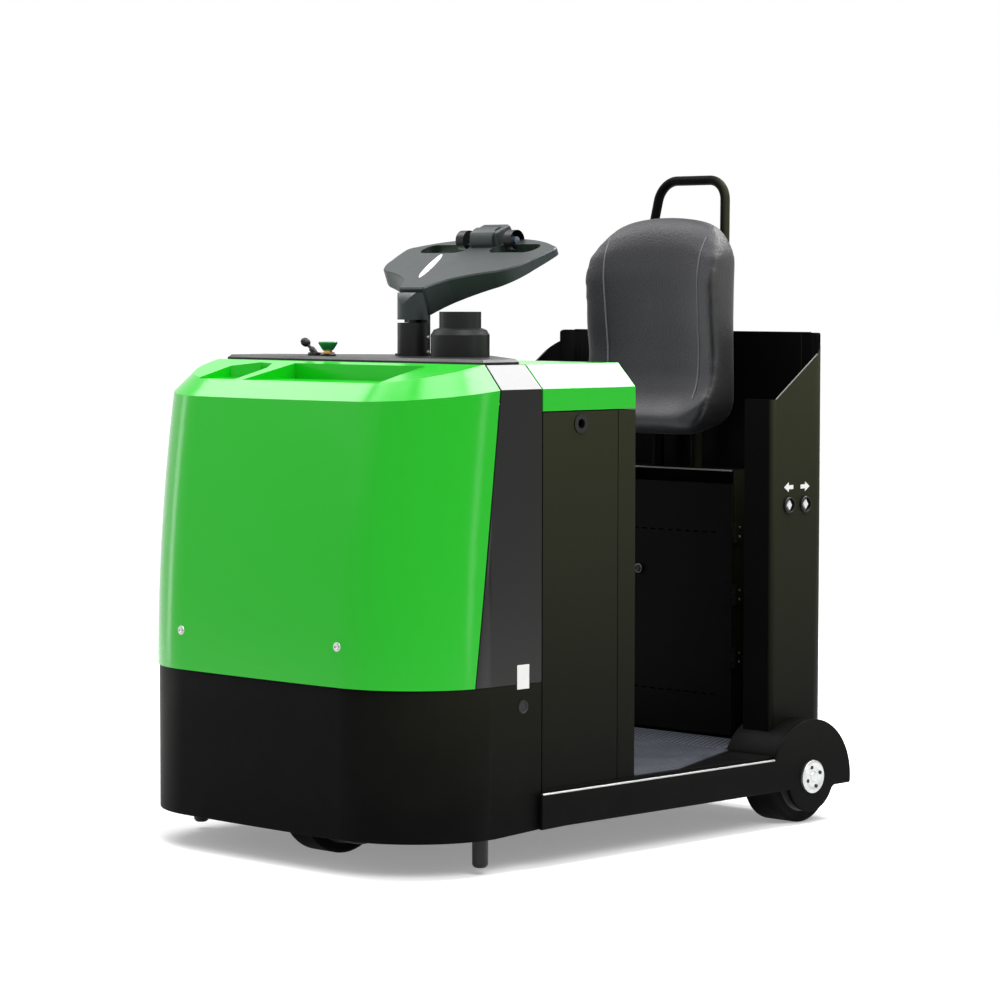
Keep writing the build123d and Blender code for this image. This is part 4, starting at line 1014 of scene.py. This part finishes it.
def makeCouplingLook(values):
    plateLow, plateHigh = boxOf("tow_coupling")
    middleZ = (plateLow.z + plateHigh.z) / 2
    shape = bmesh.new()
    for side in (1, -1):
        for lift in (values["lift"], -values["lift"]):
            start = (plateLow.x - 0.3, side * values["side"], middleZ + lift)
            point, normal = meetNode("tow_coupling", start, (1, 0, 0))
            addBolt(shape, standAt(point, normal), values["bolt"])
    finishPiece(shape, "couplingBolts", "chassis", "bare_steel")
    pinLow, pinHigh = boxOf("tow_pin")
    middle = (pinLow + pinHigh) / 2
    grip = bmesh.new()
    knob = shift((middle.x, middle.y, pinHigh.z - values["gripDrop"]))
    addTurned(grip, values["grip"], knob, 40)
    finishPiece(grip, "pinGrip", "tow_pin", "black_plastic")


makeCouplingLook(couplingLook)
print("coupling dressed")


# Camera at the photograph's viewing angle
cameraPlace = {"x": 5.1605, "y": 5.053, "z": 1.120, "yaw": 44.473, "pitch": 3.477, "roll": 0.10, "lens": 124.886}


def makeCamera(values):
    data = bpy.data.cameras.new("camera")
    data.lens = values["lens"]
    data.sensor_width = 36.0
    data.clip_end = 200.0
    camera = addObject("camera", data)
    turn = turned(90 + values["yaw"], "Z") @ turned(90 - values["pitch"], "X") @ turned(values["roll"], "Z")
    camera.matrix_world = shift((values["x"], values["y"], values["z"])) @ turn
    bpy.context.scene.camera = camera


# Soft studio: two wide suns, softboxes that the chamfers mirror, upright strips for the highlights, a plain world
lightValues = {
    "key": {"azimuth": 66.0, "height": 50.0, "strength": 1.65, "angle": 35.0},
    "fill": {"azimuth": -30.0, "height": 35.0, "strength": 0.34, "angle": 60.0},
    "world": 0.42,
    "boxes": {
        "rearBox": {"place": (-2.94, 0.31, 4.02), "size": (1.9, 1.0), "power": 120.0},
        "highBox": {"place": (-1.23, 0.97, 5.09), "size": (1.5, 1.5), "power": 118.0},
        "topBox": {"place": (0.35, 0.28, 5.45), "size": (1.5, 1.5), "power": 68.0},
        "middleBox": {"place": (0.39, -1.63, 5.06), "size": (1.8, 1.7), "power": 64.0},
        "farBox": {"place": (0.41, -3.14, 3.96), "size": (2.2, 1.4), "power": 56.0},
        "sideStrip": {"place": (-0.6, 4.6, 1.3), "size": (0.5, 2.6), "power": 12.0},
        "farStrip": {"place": (1.6, -4.4, 1.2), "size": (0.6, 2.4), "power": 12.0},
    },
    "aim": (0.35, 0.2, 0.95),
}
# The floor's grey for what it lights and for what is seen, and the glow that lifts it to white
floorLook = {"reach": 60.0, "lit": 0.5, "seen": 0.86, "glow": 0.27}


def addLamp(name, kind, energy, place, **settings):
    data = bpy.data.lights.new(name, kind)
    data.energy = energy
    for label, value in settings.items():
        setattr(data, label, value)
    addObject(name, data).matrix_world = place


def makeSun(name, values):
    turn = turned(values["azimuth"] + 90, "Z") @ turned(90 - values["height"], "X")
    addLamp(name, "SUN", values["strength"], turn, angle=math.radians(values["angle"]))


def makeBoxLight(name, values, aim):
    place = Vector(values["place"])
    facing = (Vector(aim) - place).to_track_quat("-Z", "Y").to_matrix().to_4x4()
    wide, tall = values["size"]
    addLamp(name, "AREA", values["power"], shift(place) @ facing, shape="RECTANGLE", size=wide,
            size_y=tall)


# White to the camera and in reflections, a plain grey level for what it lights
def seenDirectly(tree):
    path = addNode(tree, "ShaderNodeLightPath")
    shiny = doMath(tree, "MAXIMUM", path.outputs["Is Glossy Ray"], path.outputs["Is Transmission Ray"])
    return doMath(tree, "MAXIMUM", path.outputs["Is Camera Ray"], shiny)


def makeWorld(strength):
    world = bpy.data.worlds.new("studio")
    bpy.context.scene.world = world
    world.use_nodes = True
    tree = world.node_tree
    back = tree.nodes["Background"]
    back.inputs["Color"].default_value = (1, 1, 1, 1)
    tree.links.new(mapRange(tree, seenDirectly(tree), 0.0, 1.0, strength, 1.0), back.inputs["Strength"])


def makeFloor(values):
    mesh = bpy.data.meshes.new("studioFloor")
    shape = bmesh.new()
    bmesh.ops.create_grid(shape, x_segments=1, y_segments=1, size=values["reach"])
    shape.to_mesh(mesh)
    shape.free()
    floor = addObject("studioFloor", mesh)
    material, tree, shader = newMaterial("studioFloor")
    seen = seenDirectly(tree)
    lit, bright = ((level, level, level, 1) for level in (values["lit"], values["seen"]))
    tree.links.new(mixColour(tree, seen, lit, bright), shader.inputs["Base Color"])
    shader.inputs["Roughness"].default_value = 0.9
    shader.inputs["Specular IOR Level"].default_value = 0.0
    shader.inputs["Emission Color"].default_value = (1, 1, 1, 1)
    tree.links.new(doMath(tree, "MULTIPLY", seen, values["glow"]), shader.inputs["Emission Strength"])
    mesh.materials.append(material)


makeCamera(cameraPlace)
makeSun("keyLight", lightValues["key"])
makeSun("fillLight", lightValues["fill"])
for name, values in lightValues["boxes"].items():
    makeBoxLight(name, values, lightValues["aim"])
makeWorld(lightValues["world"])
makeFloor(floorLook)
bpy.context.scene.view_settings.view_transform = "Standard"
print("camera, lights and floor made")
